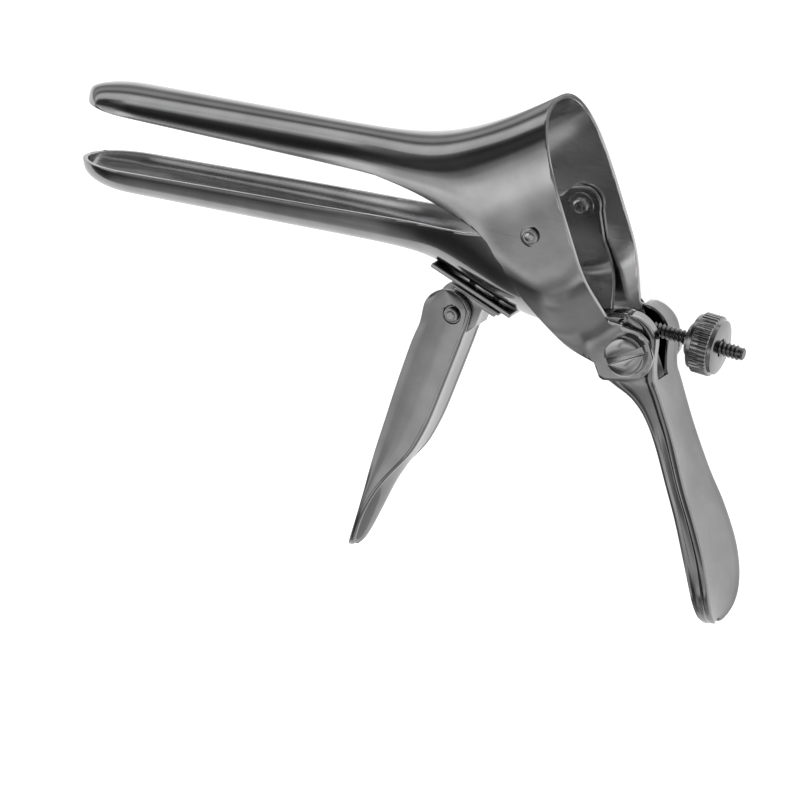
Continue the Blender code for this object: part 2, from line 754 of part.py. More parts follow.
def channel_mesh(name, rows, corner, crowning):
    """Loft a closed bar whose rear edges are rounded, through rows of its side view."""
    bm = bmesh.new()
    rings = []
    for y, front, rear, half in rows:
        radius = min(corner, half * 0.6, (rear - front) * 0.6)
        side = [(front, half), ((front + rear - radius) / 2, half)]
        for index in range(4):
            angle = math.pi / 2 * index / 3
            x = rear - radius + radius * math.sin(angle)
            side.append((x, half - radius + radius * math.cos(angle)))
        side.append((rear + crowning * 0.75, (half - radius) * 0.5))
        points = side + [(rear + crowning, 0.0)]
        points += [(x, -z) for x, z in reversed(side)]
        rings.append([bm.verts.new((x, y, z)) for x, z in points])
    for first, second in zip(rings, rings[1:]):
        for index in range(len(first)):
            after = (index + 1) % len(first)
            bm.faces.new((first[index], first[after], second[after], second[index]))
    bm.faces.new(rings[0])
    bm.faces.new(rings[-1])
    return mesh_from(name, bm)


def hollow_rows(rows, thickness, top, bottom):
    """Rows of the space inside a channel, open at the front."""
    found = []
    for index, (y, front, rear, half) in enumerate(rows):
        above = rows[max(index - 1, 0)]
        below = rows[min(index + 1, len(rows) - 1)]
        slope = (above[2] - below[2]) / (above[0] - below[0])
        inset = thickness * min(math.sqrt(1 + slope * slope), STEEPEST_INSET)
        if bottom <= y <= top and half > thickness * 1.5:
            found.append((y, front - OVERCUT, rear - inset, half - thickness))
    return found


def build_long_handle(axis):
    """The long handle: a pressed channel with a forked hood over the rod."""
    rows = smooth_rows(handle_rows(), 2)
    mesh = channel_mesh("long_handle", rows, HANDLE_CORNER, HANDLE_CROWNING)
    handle = new_piece("long_handle", mesh, 0.40, 0.22)
    place(handle, axis)
    highest = HANDLE_TOP - HANDLE_SHEET
    inside = hollow_rows(rows, HANDLE_SHEET, highest, HANDLE_TIP + HANDLE_SHEET)
    first = inside[0]
    inside.insert(0, (highest, first[1], first[2] - 0.0006, first[3]))
    hollow = channel_mesh("handle_hollow", inside, HANDLE_CORNER * 0.5, HANDLE_CROWNING)
    cut(handle, place(new_cutter("handle_hollow", hollow), axis))
    low = (SCREW_X - OVERCUT, FORK_BOTTOM, -FORK_WIDTH / 2)
    high = (SCREW_X + OVERCUT, HANDLE_TOP + OVERCUT, FORK_WIDTH / 2)
    fork = new_cutter("handle_fork", box_mesh("handle_fork", low, high))
    cut(handle, place(fork, axis))
    hole = SCREW_SHANK_RADIUS + PIN_GAP
    cut(handle, both_sides("handle_screw_hole", axis, hole, SCREW_X, SCREW_Y))


def build_handle_screw(axis, side, name):
    """A slotted shoulder screw that fastens a lug to the handle's side wall."""
    under = BLADE_HALF + SEAT
    top = under + SCREW_HEAD
    end = HANDLE_HALF - HANDLE_SHEET - 0.0004
    points = [
        (0.0, top),
        (SCREW_HEAD_RADIUS - 0.0005, top),
        (SCREW_HEAD_RADIUS - 0.0001, top - 0.0004),
        (SCREW_HEAD_RADIUS, top - 0.0007),
        (SCREW_HEAD_RADIUS, under),
        (SCREW_SHANK_RADIUS, under),
        (SCREW_SHANK_RADIUS, end),
        (0.0, end),
    ]
    turn = (0.0, 0.0, 0.0) if side > 0 else (math.pi, 0.0, 0.0)
    screw = new_piece("handle_screw_" + name, profile_mesh("screw", points, False), 0.45, 0.2)
    turned(screw, 28, False)
    place(screw, axis, (SCREW_X, SCREW_Y, 0.0), turn)
    low = (-OVERCUT, -SCREW_SLOT_WIDTH / 2, top - SCREW_SLOT_DEPTH)
    high = (OVERCUT, SCREW_SLOT_WIDTH / 2, top + OVERCUT)
    slot = new_cutter("screw_slot_" + name, box_mesh("screw_slot", low, high))
    place(slot, axis, (SCREW_X, SCREW_Y, 0.0), (turn[0], 0.0, SCREW_SLOT_ANGLE))
    cut(screw, slot)


def lever_rows():
    """Rows of the thumb lever: height, front edge, rear face and half width."""
    half = LEVER_HALF
    middle_x = LEVER_PIN_X - LEVER_HEAD_OFFSET
    middle_y = LEVER_PIN_Y
    rows = []
    for angle in (78.0, 60.0, 42.0, 24.0, 8.0):
        reach = LEVER_HEAD_RADIUS * math.cos(math.radians(angle))
        y = middle_y + LEVER_HEAD_RADIUS * math.sin(math.radians(angle))
        rows.append((y, middle_x - reach, middle_x + reach, half))
    shares = [1.0] * 6 + [0.98, 0.95, 0.87, 0.72, 0.50, 0.22]
    moves = [0.0] * 7 + [LEVER_TIP - LEVER_SIDE[-1][0]] * 5
    for (y, front, rear), move, share in zip(LEVER_SIDE, moves, shares):
        rows.append((y + move, front, rear, half * share))
    return rows


def build_lever(axis):
    """The folding thumb lever, a channel pinned on the bracket's knuckle."""
    rows = smooth_rows(lever_rows(), 2)
    mesh = channel_mesh("thumb_lever", rows, LEVER_CORNER, LEVER_CROWNING)
    lever = new_piece("thumb_lever", mesh, 0.46, 0.24)
    place(lever, axis)
    inside = hollow_rows(rows, LEVER_SHEET, 0.0, LEVER_TIP + LEVER_SHEET)
    first = inside[0]
    inside.insert(0, (first[0] + 0.004, first[1], first[2], first[3]))
    hollow = channel_mesh("lever_hollow", inside, LEVER_CORNER * 0.5, LEVER_CROWNING)
    cut(lever, place(new_cutter("lever_hollow", hollow), axis))
    inner = LEVER_HALF - LEVER_SHEET
    low = (LEVER_PIN_X - OVERCUT, LEVER_STOP, -inner)
    high = (LEVER_PIN_X + OVERCUT, LEVER_PIN_Y + OVERCUT, inner)
    window = box_mesh("lever_window", low, high)
    cut(lever, place(new_cutter("lever_window", window), axis))
    hole = LEVER_PIN_RADIUS + PIN_GAP
    cut(lever, both_sides("lever_pin_hole", axis, hole, LEVER_PIN_X, LEVER_PIN_Y))


def build_lever_pin(axis):
    """The headed pin that the thumb lever folds on."""
    under = LEVER_HALF + SEAT
    top = under + LEVER_PIN_HEAD
    points = [
        (0.0, top),
        (LEVER_PIN_HEAD_RADIUS - 0.0003, top),
        (LEVER_PIN_HEAD_RADIUS, top - 0.0002),
        (LEVER_PIN_HEAD_RADIUS, under),
        (LEVER_PIN_RADIUS, under),
        (LEVER_PIN_RADIUS, -under),
        (LEVER_PIN_HEAD_RADIUS, -under),
        (LEVER_PIN_HEAD_RADIUS, 0.0002 - top),
        (LEVER_PIN_HEAD_RADIUS - 0.0003, -top),
        (0.0, -top),
    ]
    pin = new_piece("lever_pin", profile_mesh("lever_pin", points, False), 0.40, 0.25)
    turned(pin, HOLE_SEGMENTS, False)
    place(pin, axis, (LEVER_PIN_X, LEVER_PIN_Y, 0.0))


def build_clevis(axis):
    """The clevis on the lower valve's rear edge and the pin that the rod swings on."""
    half = ROD_EYE / 2 + PIN_GAP + CLEVIS_CHEEK
    keel = LOWER_FUNNEL[-3][1] + SHEET + SEAT
    outline = [(0.0060, keel), (0.0060, keel + 0.0016), (0.0095, keel + 0.0020)]
    outline += arc_points(ANCHOR_X, ANCHOR_Y, ROD_EYE_RADIUS, 110.0, -70.0, 9)
    outline += [(0.0112, keel + 0.0002)]
    clevis = new_piece("rod_clevis", prism_mesh("rod_clevis", outline, -half, half), 0.3, 0.3)
    place(clevis, axis)
    gap = ROD_EYE / 2 + PIN_GAP
    low = (ANCHOR_X - ROD_EYE_RADIUS - 0.0008, ANCHOR_Y - 0.006, -gap)
    high = (ANCHOR_X + 0.006, ANCHOR_Y + 0.006, gap)
    cut(clevis, place(new_cutter("clevis_slot", box_mesh("clevis_slot", low, high)), axis))
    hole = ROD_PIN_RADIUS + PIN_GAP
    cut(clevis, both_sides("clevis_hole", axis, hole, ANCHOR_X, ANCHOR_Y))
    pin = drum_mesh("rod_pin", ROD_PIN_RADIUS, -half, half, SMALL_SEGMENTS)
    place(new_piece("rod_pin", pin, 0.4, 0.25), axis, (ANCHOR_X, ANCHOR_Y, 0.0))


def rod_turn():
    """Rotation that lays local Z along the rod, away from the clevis."""
    return (0.0, math.pi / 2, ROD_LEAN)


def build_rod(axis):
    """The threaded rod with the flat eye that it swings on."""
    eye = drum_mesh("threaded_rod", ROD_EYE_RADIUS, -ROD_EYE / 2, ROD_EYE / 2, HOLE_SEGMENTS)
    rod = new_piece("threaded_rod", eye, 0.25, 0.32)
    place(rod, axis, (ANCHOR_X, ANCHOR_Y, 0.0))
    low = 0.0012
    neck = ROD_EYE_RADIUS + 0.0016
    points = [(0.0, ROD_LENGTH), (ROD_RADIUS * 0.6, ROD_LENGTH - 0.0001)]
    points.append((ROD_RADIUS, ROD_LENGTH - ROD_RADIUS * 0.5))
    height = ROD_LENGTH - ROD_RADIUS * 0.5 - THREAD_PITCH / 2
    while height - THREAD_PITCH / 2 > neck:
        points.append((ROD_RADIUS - THREAD_DEPTH, height))
        points.append((ROD_RADIUS, height - THREAD_PITCH / 2))
        height -= THREAD_PITCH
    points += [(ROD_EYE * 0.45, neck - 0.0006), (ROD_EYE * 0.45, low), (0.0, low)]
    shank = new_cutter("rod_shank", profile_mesh("rod_shank", points, False))
    turned(shank, 12, False)
    place(shank, axis, (ANCHOR_X, ANCHOR_Y, 0.0), rod_turn())
    cut(rod, shank, "UNION")
    hole = ROD_PIN_RADIUS + PIN_GAP
    cut(rod, both_sides("rod_eye_hole", axis, hole, ANCHOR_X, ANCHOR_Y))


def build_thrust_washer(axis):
    """The loose washer between the fork and the nut."""
    top = NUT_REACH - SEAT
    bore = ROD_RADIUS + PIN_GAP
    points = [
        (THRUST_WASHER_RADIUS, top),
        (THRUST_WASHER_RADIUS, top - THRUST_WASHER),
        (bore, top - THRUST_WASHER),
        (bore, top),
    ]
    washer = new_piece("thrust_washer", profile_mesh("washer", points, True), 0.35, 0.3)
    place(turned(washer, 24, True), axis, (ANCHOR_X, ANCHOR_Y, 0.0), rod_turn())


def build_nut(axis):
    """The knurled thumb nut."""
    low = NUT_REACH
    top = NUT_REACH + NUT_THICKNESS
    bore = ROD_RADIUS + PIN_GAP
    flat = NUT_RADIUS - NUT_CHAMFER * 1.6
    points = [
        (flat, top),
        (NUT_RADIUS, top - NUT_CHAMFER),
        (NUT_RADIUS, low + NUT_CHAMFER),
        (flat, low),
        (bore, low),
        (bore, top),
    ]
    nut = new_piece("knurled_nut", profile_mesh("knurled_nut", points, True), 0.33, 0.3)
    place(turned(nut, KNURL_COUNT * 2, True), axis, (ANCHOR_X, ANCHOR_Y, 0.0), rod_turn())
    bm = bmesh.new()
    side = KNURL_DEPTH * math.sqrt(2.0)
    for index in range(KNURL_COUNT):
        made = bmesh.ops.create_cube(bm, size=1.0)["verts"]
        bmesh.ops.scale(bm, vec=(side, side, NUT_THICKNESS + 0.002), verts=made)
        spin = math.pi * 2 * (index + 0.5) / KNURL_COUNT
        bmesh.ops.rotate(bm, cent=(0.0, 0.0, 0.0), matrix=rotation(math.pi / 4), verts=made)
        reach = NUT_RADIUS * math.cos(math.pi / (KNURL_COUNT * 2)) + KNURL_DEPTH * 0.15
        bmesh.ops.translate(bm, vec=(reach, 0.0, (low + top) / 2), verts=made)
        bmesh.ops.rotate(bm, cent=(0.0, 0.0, 0.0), matrix=rotation(spin), verts=made)
    knurl = new_cutter("nut_knurl", mesh_from("nut_knurl", bm))
    place(knurl, axis, (ANCHOR_X, ANCHOR_Y, 0.0), rod_turn())
    cut(nut, knurl)


def rotation(angle):
    """A turn about Z."""
    return Matrix.Rotation(angle, 3, "Z")


def build():
    """Build every piece on the axis that it moves with."""
    root = new_axis("instrument", None, 0.0, 0.0, HALF_SPAN)
    pivot = new_axis("blade_pivot_axis", root, 0.0, 0.0)
    lever_axis = new_axis("lever_pin_axis", pivot, LEVER_PIN_X, LEVER_PIN_Y)
    rod_axis = new_axis("rod_pin_axis", pivot, ANCHOR_X, ANCHOR_Y)
    build_upper_blade(root)
    build_long_handle(root)
    for side, name in ((1, "near"), (-1, "far")):
        build_pivot(root, side, name)
        build_handle_screw(root, side, name)
    build_lower_blade(pivot)
    build_bracket(pivot)
    build_lever_pin(pivot)
    build_clevis(pivot)
    build_lever(lever_axis)
    build_rod(rod_axis)
    build_thrust_washer(rod_axis)
    build_nut(rod_axis)


clear_scene()
PARTS = new_collection("bivalve_speculum")
CUTTERS = new_collection("cutters")
build()
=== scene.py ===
"""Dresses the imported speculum: polished sheet, turned fasteners, a knurled nut and a table."""

import logging
import math
from contextlib import contextmanager
from dataclasses import dataclass
from enum import Enum
from typing import Callable, Iterator, Optional, Union

import bpy
from mathutils import Matrix, Vector

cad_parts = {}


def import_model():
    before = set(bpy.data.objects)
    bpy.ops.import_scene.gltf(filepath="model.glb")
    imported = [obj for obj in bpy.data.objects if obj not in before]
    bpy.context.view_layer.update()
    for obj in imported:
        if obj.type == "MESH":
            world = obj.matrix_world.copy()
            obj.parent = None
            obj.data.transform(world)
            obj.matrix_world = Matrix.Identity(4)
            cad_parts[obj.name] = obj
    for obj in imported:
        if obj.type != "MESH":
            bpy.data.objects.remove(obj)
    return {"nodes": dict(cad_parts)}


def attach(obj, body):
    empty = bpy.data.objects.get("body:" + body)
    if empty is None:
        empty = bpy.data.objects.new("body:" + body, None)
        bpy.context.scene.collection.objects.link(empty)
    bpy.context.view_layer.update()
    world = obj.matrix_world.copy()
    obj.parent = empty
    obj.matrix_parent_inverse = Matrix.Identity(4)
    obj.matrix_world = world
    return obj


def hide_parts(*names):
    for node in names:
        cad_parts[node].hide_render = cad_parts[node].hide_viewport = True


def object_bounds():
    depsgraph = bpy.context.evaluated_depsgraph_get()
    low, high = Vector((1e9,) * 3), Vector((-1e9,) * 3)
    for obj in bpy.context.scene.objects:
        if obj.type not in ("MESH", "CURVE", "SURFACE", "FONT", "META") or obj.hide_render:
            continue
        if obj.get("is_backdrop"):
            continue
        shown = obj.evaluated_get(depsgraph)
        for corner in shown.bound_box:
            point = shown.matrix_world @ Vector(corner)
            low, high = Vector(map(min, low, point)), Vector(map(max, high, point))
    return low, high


LOG = logging.getLogger("speculum")
Point = tuple[float, float, float]
Profile = list[tuple[float, float]]
Value = Union[float, tuple[float, ...], bpy.types.NodeSocket]

# Places in metres from the pivot in the side view, and the height of the middle of the row.
MID_PLANE = 0.0158
SCREW_AXIS = (0.0182, -0.0244)
LEVER_AXIS = (-0.0214, -0.0209)
# How near points are joined, and the angle in degrees from which an edge stays sharp.
MERGE = 0.00001
FINE_MERGE = 0.000005
BAR_MERGE = 0.000002
SHARP = 32.0
# The middle range of a noise, and the lie of the marks along the blades.
NOISE_LOW, NOISE_HIGH = 0.3, 0.7
BLADE_LIE = math.radians(-5.0)
# How far a groove's cutter stands out, and how long a drill is.
CUT_REACH = 0.004
DRILL_LENGTH = 0.04
WHITE = (1.0, 1.0, 1.0, 1.0)
BLACK = (0.0, 0.0, 0.0, 1.0)
TABLE_GREY = (0.80, 0.80, 0.80, 1.0)


class Body(Enum):
    """The moving bodies of the instrument."""

    UPPER = "upper_valve"
    LOWER = "lower_valve"
    LEVER = "lever"
    ROD = "rod"
    WASHER = "washer"
    NUT = "nut"


class Slot(Enum):
    """Names of the material slots."""

    POLISHED = "polished_steel"
    DARK = "dark_steel"
    KNURLED = "knurled_steel"
    FASTENER = "fastener_steel"


class Grain(Enum):
    """The way that the marks of the finishing wheel run."""

    STRAIGHT = "straight"
    ROUND = "round"


class Graph:
    """Adds nodes to a node tree, sets them and links them."""

    def __init__(self, tree: bpy.types.NodeTree) -> None:
        """Keep the tree's nodes and links.

        Args:
            tree: The node tree.
        """
        self.nodes = tree.nodes
        self.links = tree.links

    def fill(self, node: bpy.types.Node, inputs: dict[Union[str, int], Value]) -> None:
        """Set inputs of a node, or link them where the value is a socket.

        Args:
            node: The node.
            inputs: The value or the socket for each input.
        """
        for key, value in inputs.items():
            if isinstance(value, bpy.types.NodeSocket):
                self.links.new(value, node.inputs[key])
            else:
                node.inputs[key].default_value = value

    def add(
        self, kind: str, out: str, inputs: dict[Union[str, int], Value], **settings: str
    ) -> bpy.types.NodeSocket:
        """Add a node.

        Args:
            kind: The node's type, without the word that all shader nodes start with.
            out: The name of its output.
            inputs: The value or the socket for each input.
            settings: The settings of the node, which are made first.

        Returns:
            The output.
        """
        node = self.nodes.new("ShaderNode" + kind)
        for key, value in settings.items():
            setattr(node, key, value)
        self.fill(node, inputs)
        return node.outputs[out]

    def mix(self, factor: Value, first: Value, second: Value) -> bpy.types.NodeSocket:
        """Mix two colours.

        Args:
            factor: The share of the second.
            first: The first colour.
            second: The second colour.

        Returns:
            The mixed colour.
        """
        inputs = {"Factor": factor, "A": first, "B": second}
        return self.add("Mix", "Result", inputs, data_type="RGBA")

    def greys(self, place: Value, stops: Profile) -> bpy.types.NodeSocket:
        """Make a soft ramp of greys.

        Args:
            place: Where on the ramp to read.
            stops: The place, from 0 to 1, and the brightness of each stop.

        Returns:
            The ramp's colour.
        """
        colour = self.add("ValToRGB", "Color", {"Fac": place})
        ramp = colour.node.color_ramp
        ramp.interpolation = "EASE"
        while len(ramp.elements) < len(stops):
            ramp.elements.new(0.5)
        for element, (position, level) in zip(ramp.elements, stops):
            element.position = position
            element.color = (level, level, level, 1.0)
        return colour


@dataclass(frozen=True)
class SteelFinish:
    """One finish of stainless steel.

    Args:
        name: The material's name.
        shade: The grey of the metal.
        roughness: The blur of its reflections.
        grain: The way that the finishing marks run.
        turn: The direction of straight marks in the side view, or nothing for round ones.
        centre: A point on the axis of round marks.
        axis_lean: The lean of that axis from Z, for marks round a leaning rod.
        marks: How many finishing marks there are in a metre.
        stretch: How many times longer than wide a straight mark is.
        depth: The depth of the marks in the bump.
        reach: The height of the bump, in metres.
        cloud: How much the grey varies over the surface.
        clouds: How many clouds there are in a metre.
        cloud_low: The noise at which a cloud is darkest.
        cloud_high: The noise at which it is brightest.
        sharpest: The share of the roughness on the ridges of the marks.
        dullest: Its share in their valleys.
    """

    name: str
    shade: float
    roughness: float
    grain: Grain = Grain.STRAIGHT
    turn: float = 0.0
    centre: Point = (0.0, 0.0, 0.0)
    axis_lean: Optional[float] = None
    marks: float = 5200.0
    stretch: float = 60.0
    depth: float = 0.05
    reach: float = 0.00005
    cloud: float = 0.10
    clouds: float = 130.0
    cloud_low: float = 0.32
    cloud_high: float = 0.68
    sharpest: float = 0.85
    dullest: float = 1.2

    def marks_height(self, graph: Graph, where: bpy.types.NodeSocket) -> bpy.types.NodeSocket:
        """Add the nodes of the finishing marks.

        Args:
            graph: The material's nodes.
            where: The object coordinates.

        Returns:
            The height of the marks.
        """
        turn = (0.0, 0.0, self.turn)
        if self.axis_lean is not None:
            turn = (0.0, math.pi / 2, self.axis_lean)
        inputs = {"Location": self.centre, "Rotation": turn, "Vector": where}
        place = graph.add("Mapping", "Vector", inputs, vector_type="TEXTURE")
        scale = (self.marks / self.stretch, self.marks, self.marks)
        if self.grain is Grain.ROUND:
            scale = (self.marks, self.marks, 1.0)
            parts = graph.add("SeparateXYZ", "X", {"Vector": place}).node.outputs
            flat = graph.add("CombineXYZ", "Vector", {"X": parts["X"], "Y": parts["Y"]})
            radius = graph.add("VectorMath", "Value", {0: flat}, operation="LENGTH")
            place = graph.add("CombineXYZ", "Vector", {"X": radius, "Y": parts["Z"]})
        spread = graph.add("VectorMath", "Vector", {0: place, 1: scale}, operation="MULTIPLY")
        return graph.add("TexNoise", "Fac", {"Scale": 1.0, "Detail": 3.0, "Vector": spread})

    def material(self) -> bpy.types.Material:
        """Make the material.

        Returns:
            The new material.
        """
        made = bpy.data.materials.new(self.name)
        made.use_nodes = True
        graph = Graph(made.node_tree)
        where = graph.add("TexCoord", "Object", {})
        noise = {"Scale": self.clouds, "Detail": 5.0, "Vector": where}
        shades = graph.add("ValToRGB", "Color", {"Fac": graph.add("TexNoise", "Fac", noise)})
        low, high = self.shade * (1.0 - self.cloud), self.shade * (1.0 + self.cloud)
        first, last = shades.node.color_ramp.elements
        first.position, first.color = self.cloud_low, (low, low, low * 1.01, 1.0)
        last.position, last.color = self.cloud_high, (high, high, high * 1.005, 1.0)
        height = self.marks_height(graph, where)
        blur = graph.add("MapRange", "Result", {
            "Value": height,
            "From Min": NOISE_LOW,
            "From Max": NOISE_HIGH,
            "To Min": self.roughness * self.sharpest,
            "To Max": self.roughness * self.dullest,
        })
        bump = {"Strength": self.depth, "Distance": self.reach, "Height": height}
        graph.fill(graph.nodes["Principled BSDF"], {
            "Metallic": 1.0,
            "Base Color": shades,
            "Roughness": blur,
            "Normal": graph.add("Bump", "Normal", bump),
        })
        return made


def only(piece: bpy.types.Object) -> None:
    """Select one piece and make it the active one.

    Args:
        piece: The piece that the next operators act on.
    """
    bpy.ops.object.select_all(action="DESELECT")
    piece.select_set(True)
    bpy.context.view_layer.objects.active = piece


@contextmanager
def editing() -> Iterator[None]:
    """Work on the whole mesh of the active piece in edit mode.

    Returns:
        The context.
    """
    bpy.ops.object.mode_set(mode="EDIT")
    bpy.ops.mesh.select_all(action="SELECT")
    yield
    bpy.ops.object.mode_set(mode="OBJECT")


def named(name: str) -> bpy.types.Object:
    """Name the piece that an operator has just added, and select it alone.

    Args:
        name: The piece's name.

    Returns:
        The piece.
    """
    piece = bpy.context.active_object
    only(piece)
    piece.name = name
    piece.data.name = name
    return piece


def settle(piece: bpy.types.Object) -> None:
    """Move a piece's place, turn and scale into its mesh.

    Args:
        piece: The piece.
    """
    only(piece)
    bpy.ops.object.transform_apply(location=True, rotation=True, scale=True)


def apply_all(piece: bpy.types.Object) -> None:
    """Apply every modifier of a piece, from the top of its stack.

    Args:
        piece: The piece.
    """
    only(piece)
    for modifier in list(piece.modifiers):
        bpy.ops.object.modifier_apply(modifier=modifier.name)


def round_edges(
    piece: bpy.types.Object, width: float, segments: int, angle: float = SHARP, clamp: bool = True
) -> None:
    """Round the sharp edges of a piece and smooth its faces.

    Args:
        piece: The piece.
        width: The width of the rounding, in metres.
        segments: The number of faces across a rounding.
        angle: Edges that turn by more than this, in degrees, are rounded.
        clamp: Narrow the rounding where faces are smaller than it.
    """
    bevel = piece.modifiers.new("rounding", "BEVEL")
    bevel.limit_method = "ANGLE"
    bevel.angle_limit = math.radians(angle)
    bevel.width = width
    bevel.segments = segments
    bevel.use_clamp_overlap = clamp
    apply_all(piece)
    only(piece)
    bpy.ops.object.shade_smooth_by_angle(angle=math.radians(angle))


def cut_away(piece: bpy.types.Object, cutter: bpy.types.Object, keep_common: bool = False) -> None:
    """Cut one piece with another, which is used up.

    Args:
        piece: The piece that is cut.
        cutter: The cutting piece.
        keep_common: Keep what both hold in common, in place of what the cutter leaves.
    """
    boolean = piece.modifiers.new("cut", "BOOLEAN")
    boolean.operation = "INTERSECT" if keep_common else "DIFFERENCE"
    boolean.solver = "EXACT"
    boolean.object = cutter
    apply_all(piece)
    bpy.data.objects.remove(cutter)


def ease(value: float, low: float, high: float) -> float:
    """Rise smoothly from 0 to 1.

    Args:
        value: The value that it depends on.
        low: Where the rise starts.
        high: Where it ends.

    Returns:
        The share.
    """
    t = min(max((value - low) / (high - low), 0.0), 1.0)
    return t * t * (3.0 - 2.0 * t)


def curve_through(rows: list[tuple[float, ...]], steps: int) -> list[tuple[float, ...]]:
    """Run a smooth curve through rows of numbers.

    Args:
        rows: The rows, each as long as the others.
        steps: How many steps there are from one row to the next.

    Returns:
        The rows of the curve.
    """
    found = []
    held = [rows[0], *rows, rows[-1]]
    for around in zip(held, held[1:], held[2:], held[3:]):
        for step in range(steps):
            t = step / steps
            row = []
            for a, b, c, d in zip(*around):
                bend = (2 * a - 5 * b + 4 * c - d) * t * t + (3 * b - a - 3 * c + d) * t**3
                row.append(0.5 * (2 * b + (c - a) * t + bend))
            found.append(tuple(row))
    found.append(tuple(rows[-1]))
    return found


def arc(x: float, y: float, radius: float, start: float, end: float, steps: int) -> Profile:
    """Points along an arc of the side view.

    Args:
        x: The x of its middle.
        y: The y of its middle.
        radius: Its radius.
        start: The angle that it starts at, in degrees.
        end: The angle that it ends at.
        steps: How many steps it has.

    Returns:
        The points.
    """
    found = []
    for index in range(steps + 1):
        angle = math.radians(start + (end - start) * index / steps)
        found.append((x + radius * math.cos(angle), y + radius * math.sin(angle)))
    return found


def outline_block(name: str, outline: Profile, low: float, high: float) -> bpy.types.Object:
    """Extrude an outline of the side view into a block.

    Args:
        name: The block's name.
        outline: The outline's corners.
        low: The height that the block starts at.
        high: The height that it ends at.

    Returns:
        The block.
    """
    bpy.ops.mesh.primitive_circle_add(vertices=len(outline), radius=1.0, fill_type="NGON")
    block = named(name)
    for vertex, (x, y) in zip(block.data.vertices, outline):
        vertex.co = (x, y, low)
    with editing():
        bpy.ops.mesh.extrude_region_move(TRANSFORM_OT_translate={"value": (0.0, 0.0, high - low)})
        bpy.ops.mesh.select_all(action="SELECT")
        bpy.ops.mesh.normals_make_consistent(inside=False)
    return block


def box_piece(name: str, place: Vector, size: Vector, turn: float = 0.0) -> bpy.types.Object:
    """Add a box.

    Args:
        name: Its name.
        place: Its middle.
        size: Its size.
        turn: How far it is turned round Z.

    Returns:
        The box.
    """
    bpy.ops.mesh.primitive_cube_add(size=1.0, location=place)
    box = named(name)
    box.scale = size
    box.rotation_euler.z = turn
    settle(box)
    return box


def grid_through(name: str, table: list[list[Point]]) -> bpy.types.Object:
    """Shape a grid into a surface through rows of points.

    Args:
        name: The piece's name.
        table: The rows, each with as many points as the others.

    Returns:
        The surface.
    """
    rows, columns = len(table) - 1, len(table[0]) - 1
    bpy.ops.mesh.primitive_grid_add(x_subdivisions=columns, y_subdivisions=rows, size=1.0)
    piece = named(name)
    for vertex in piece.data.vertices:
        row = round((vertex.co.y + 0.5) * rows)
        vertex.co = table[row][round((vertex.co.x + 0.5) * columns)]
    return piece


def blade_sections(
    sheet: "PressedSheet",
    tip: float,
    straight_end: float,
    back_at: Callable[[float], float],
    edge_at: Callable[[float], float],
) -> list["Section"]:
    """Sections of a straight blade, from its rounded tip to its straight end.

    Args:
        sheet: The shared sizes.
        tip: The x of the tip.
        straight_end: The x where the funnel begins.
        back_at: The height of the crown or keel at an x.
        edge_at: The height of the free edge at an x.

    Returns:
        The sections in order.
    """
    spoon_end = tip + sheet.tip_length
    stations = []
    for index in range(sheet.tip_rows):
        angle = math.pi / 2 * (1 - index / sheet.tip_rows)
        stations.append((spoon_end - sheet.tip_length * math.sin(angle), math.cos(angle)))
    for index in range(sheet.blade_rows):
        stations.append((spoon_end + (straight_end - spoon_end) * index / sheet.blade_rows, 1.0))
    found = []
    for x, fullness in stations:
        edge = edge_at(x)
        depth = abs(back_at(x) - edge)
        depth = sheet.tip_lip + (depth - sheet.tip_lip) * fullness
        side = 1.0 if back_at(x) > edge else -1.0
        back = Vector((x, edge + side * depth))
        foot = Vector((x, edge - side * sheet.trim_margin))
        found.append(Section(back, foot, depth, fullness))
    return found


def lathe(
    name: str, profile: Profile, steps: int, rise: float = 0.0, turns: int = 1
) -> bpy.types.Object:
    """Turn a profile round Z, or wind it up as a thread.

    Args:
        name: The piece's name.
        profile: Radius and height of each corner of the profile.
        steps: The number of faces round one turn.
        rise: How far a thread climbs in a turn.
        turns: How many turns a thread has.

    Returns:
        The turned piece.
    """
    mesh = bpy.data.meshes.new(name)
    corners = [(radius, 0.0, height) for radius, height in profile]
    mesh.from_pydata(corners, [(index, index + 1) for index in range(len(corners) - 1)], [])
    piece = bpy.data.objects.new(name, mesh)
    bpy.context.scene.collection.objects.link(piece)
    screw = piece.modifiers.new("turning", "SCREW")
    screw.axis = "Z"
    screw.steps = steps
    screw.render_steps = steps
    screw.screw_offset = rise
    screw.iterations = turns
    screw.use_merge_vertices = rise == 0.0
    screw.merge_threshold = MERGE
    apply_all(piece)
    with editing():
        bpy.ops.mesh.remove_doubles(threshold=FINE_MERGE)
        bpy.ops.mesh.normals_make_consistent(inside=False)
    bpy.ops.object.shade_smooth_by_angle(angle=math.radians(SHARP))
    return piece


def ringed_head(radius: float, under: float, top: float) -> Profile:
    """Profile of a peened head: a raised middle, a ring groove and a rounded rim.

    Args:
        radius: The head's radius.
        under: The height of its underside.
        top: The height of its top.

    Returns:
        The profile, from the middle to the underside.
    """
    return [
        (0.0, top),
        (radius * 0.50, top),
        (radius * 0.60, top - 0.00010),
        (radius * 0.68, top - 0.00034),
        (radius * 0.78, top - 0.00034),
        (radius * 0.86, top - 0.00014),
        (radius * 0.94, top - 0.00018),
        (radius, top - 0.00032),
        (radius, under),
    ]


def washer_profile(bore: float, radius: float, low: float, top: float, edge: float) -> Profile:
    """Profile of a flat ring with chamfered outer edges.

    Args:
        bore: The radius of its hole.
        radius: Its radius.
        low: The height of its underside.
        top: The height of its top.
        edge: The width of the chamfers.

    Returns:
        The closed profile.
    """
    return [
        (bore, top),
        (radius - edge, top),
        (radius, top - edge),
        (radius, low + edge),
        (radius - edge, low),
        (bore, low),
        (bore, top),
    ]


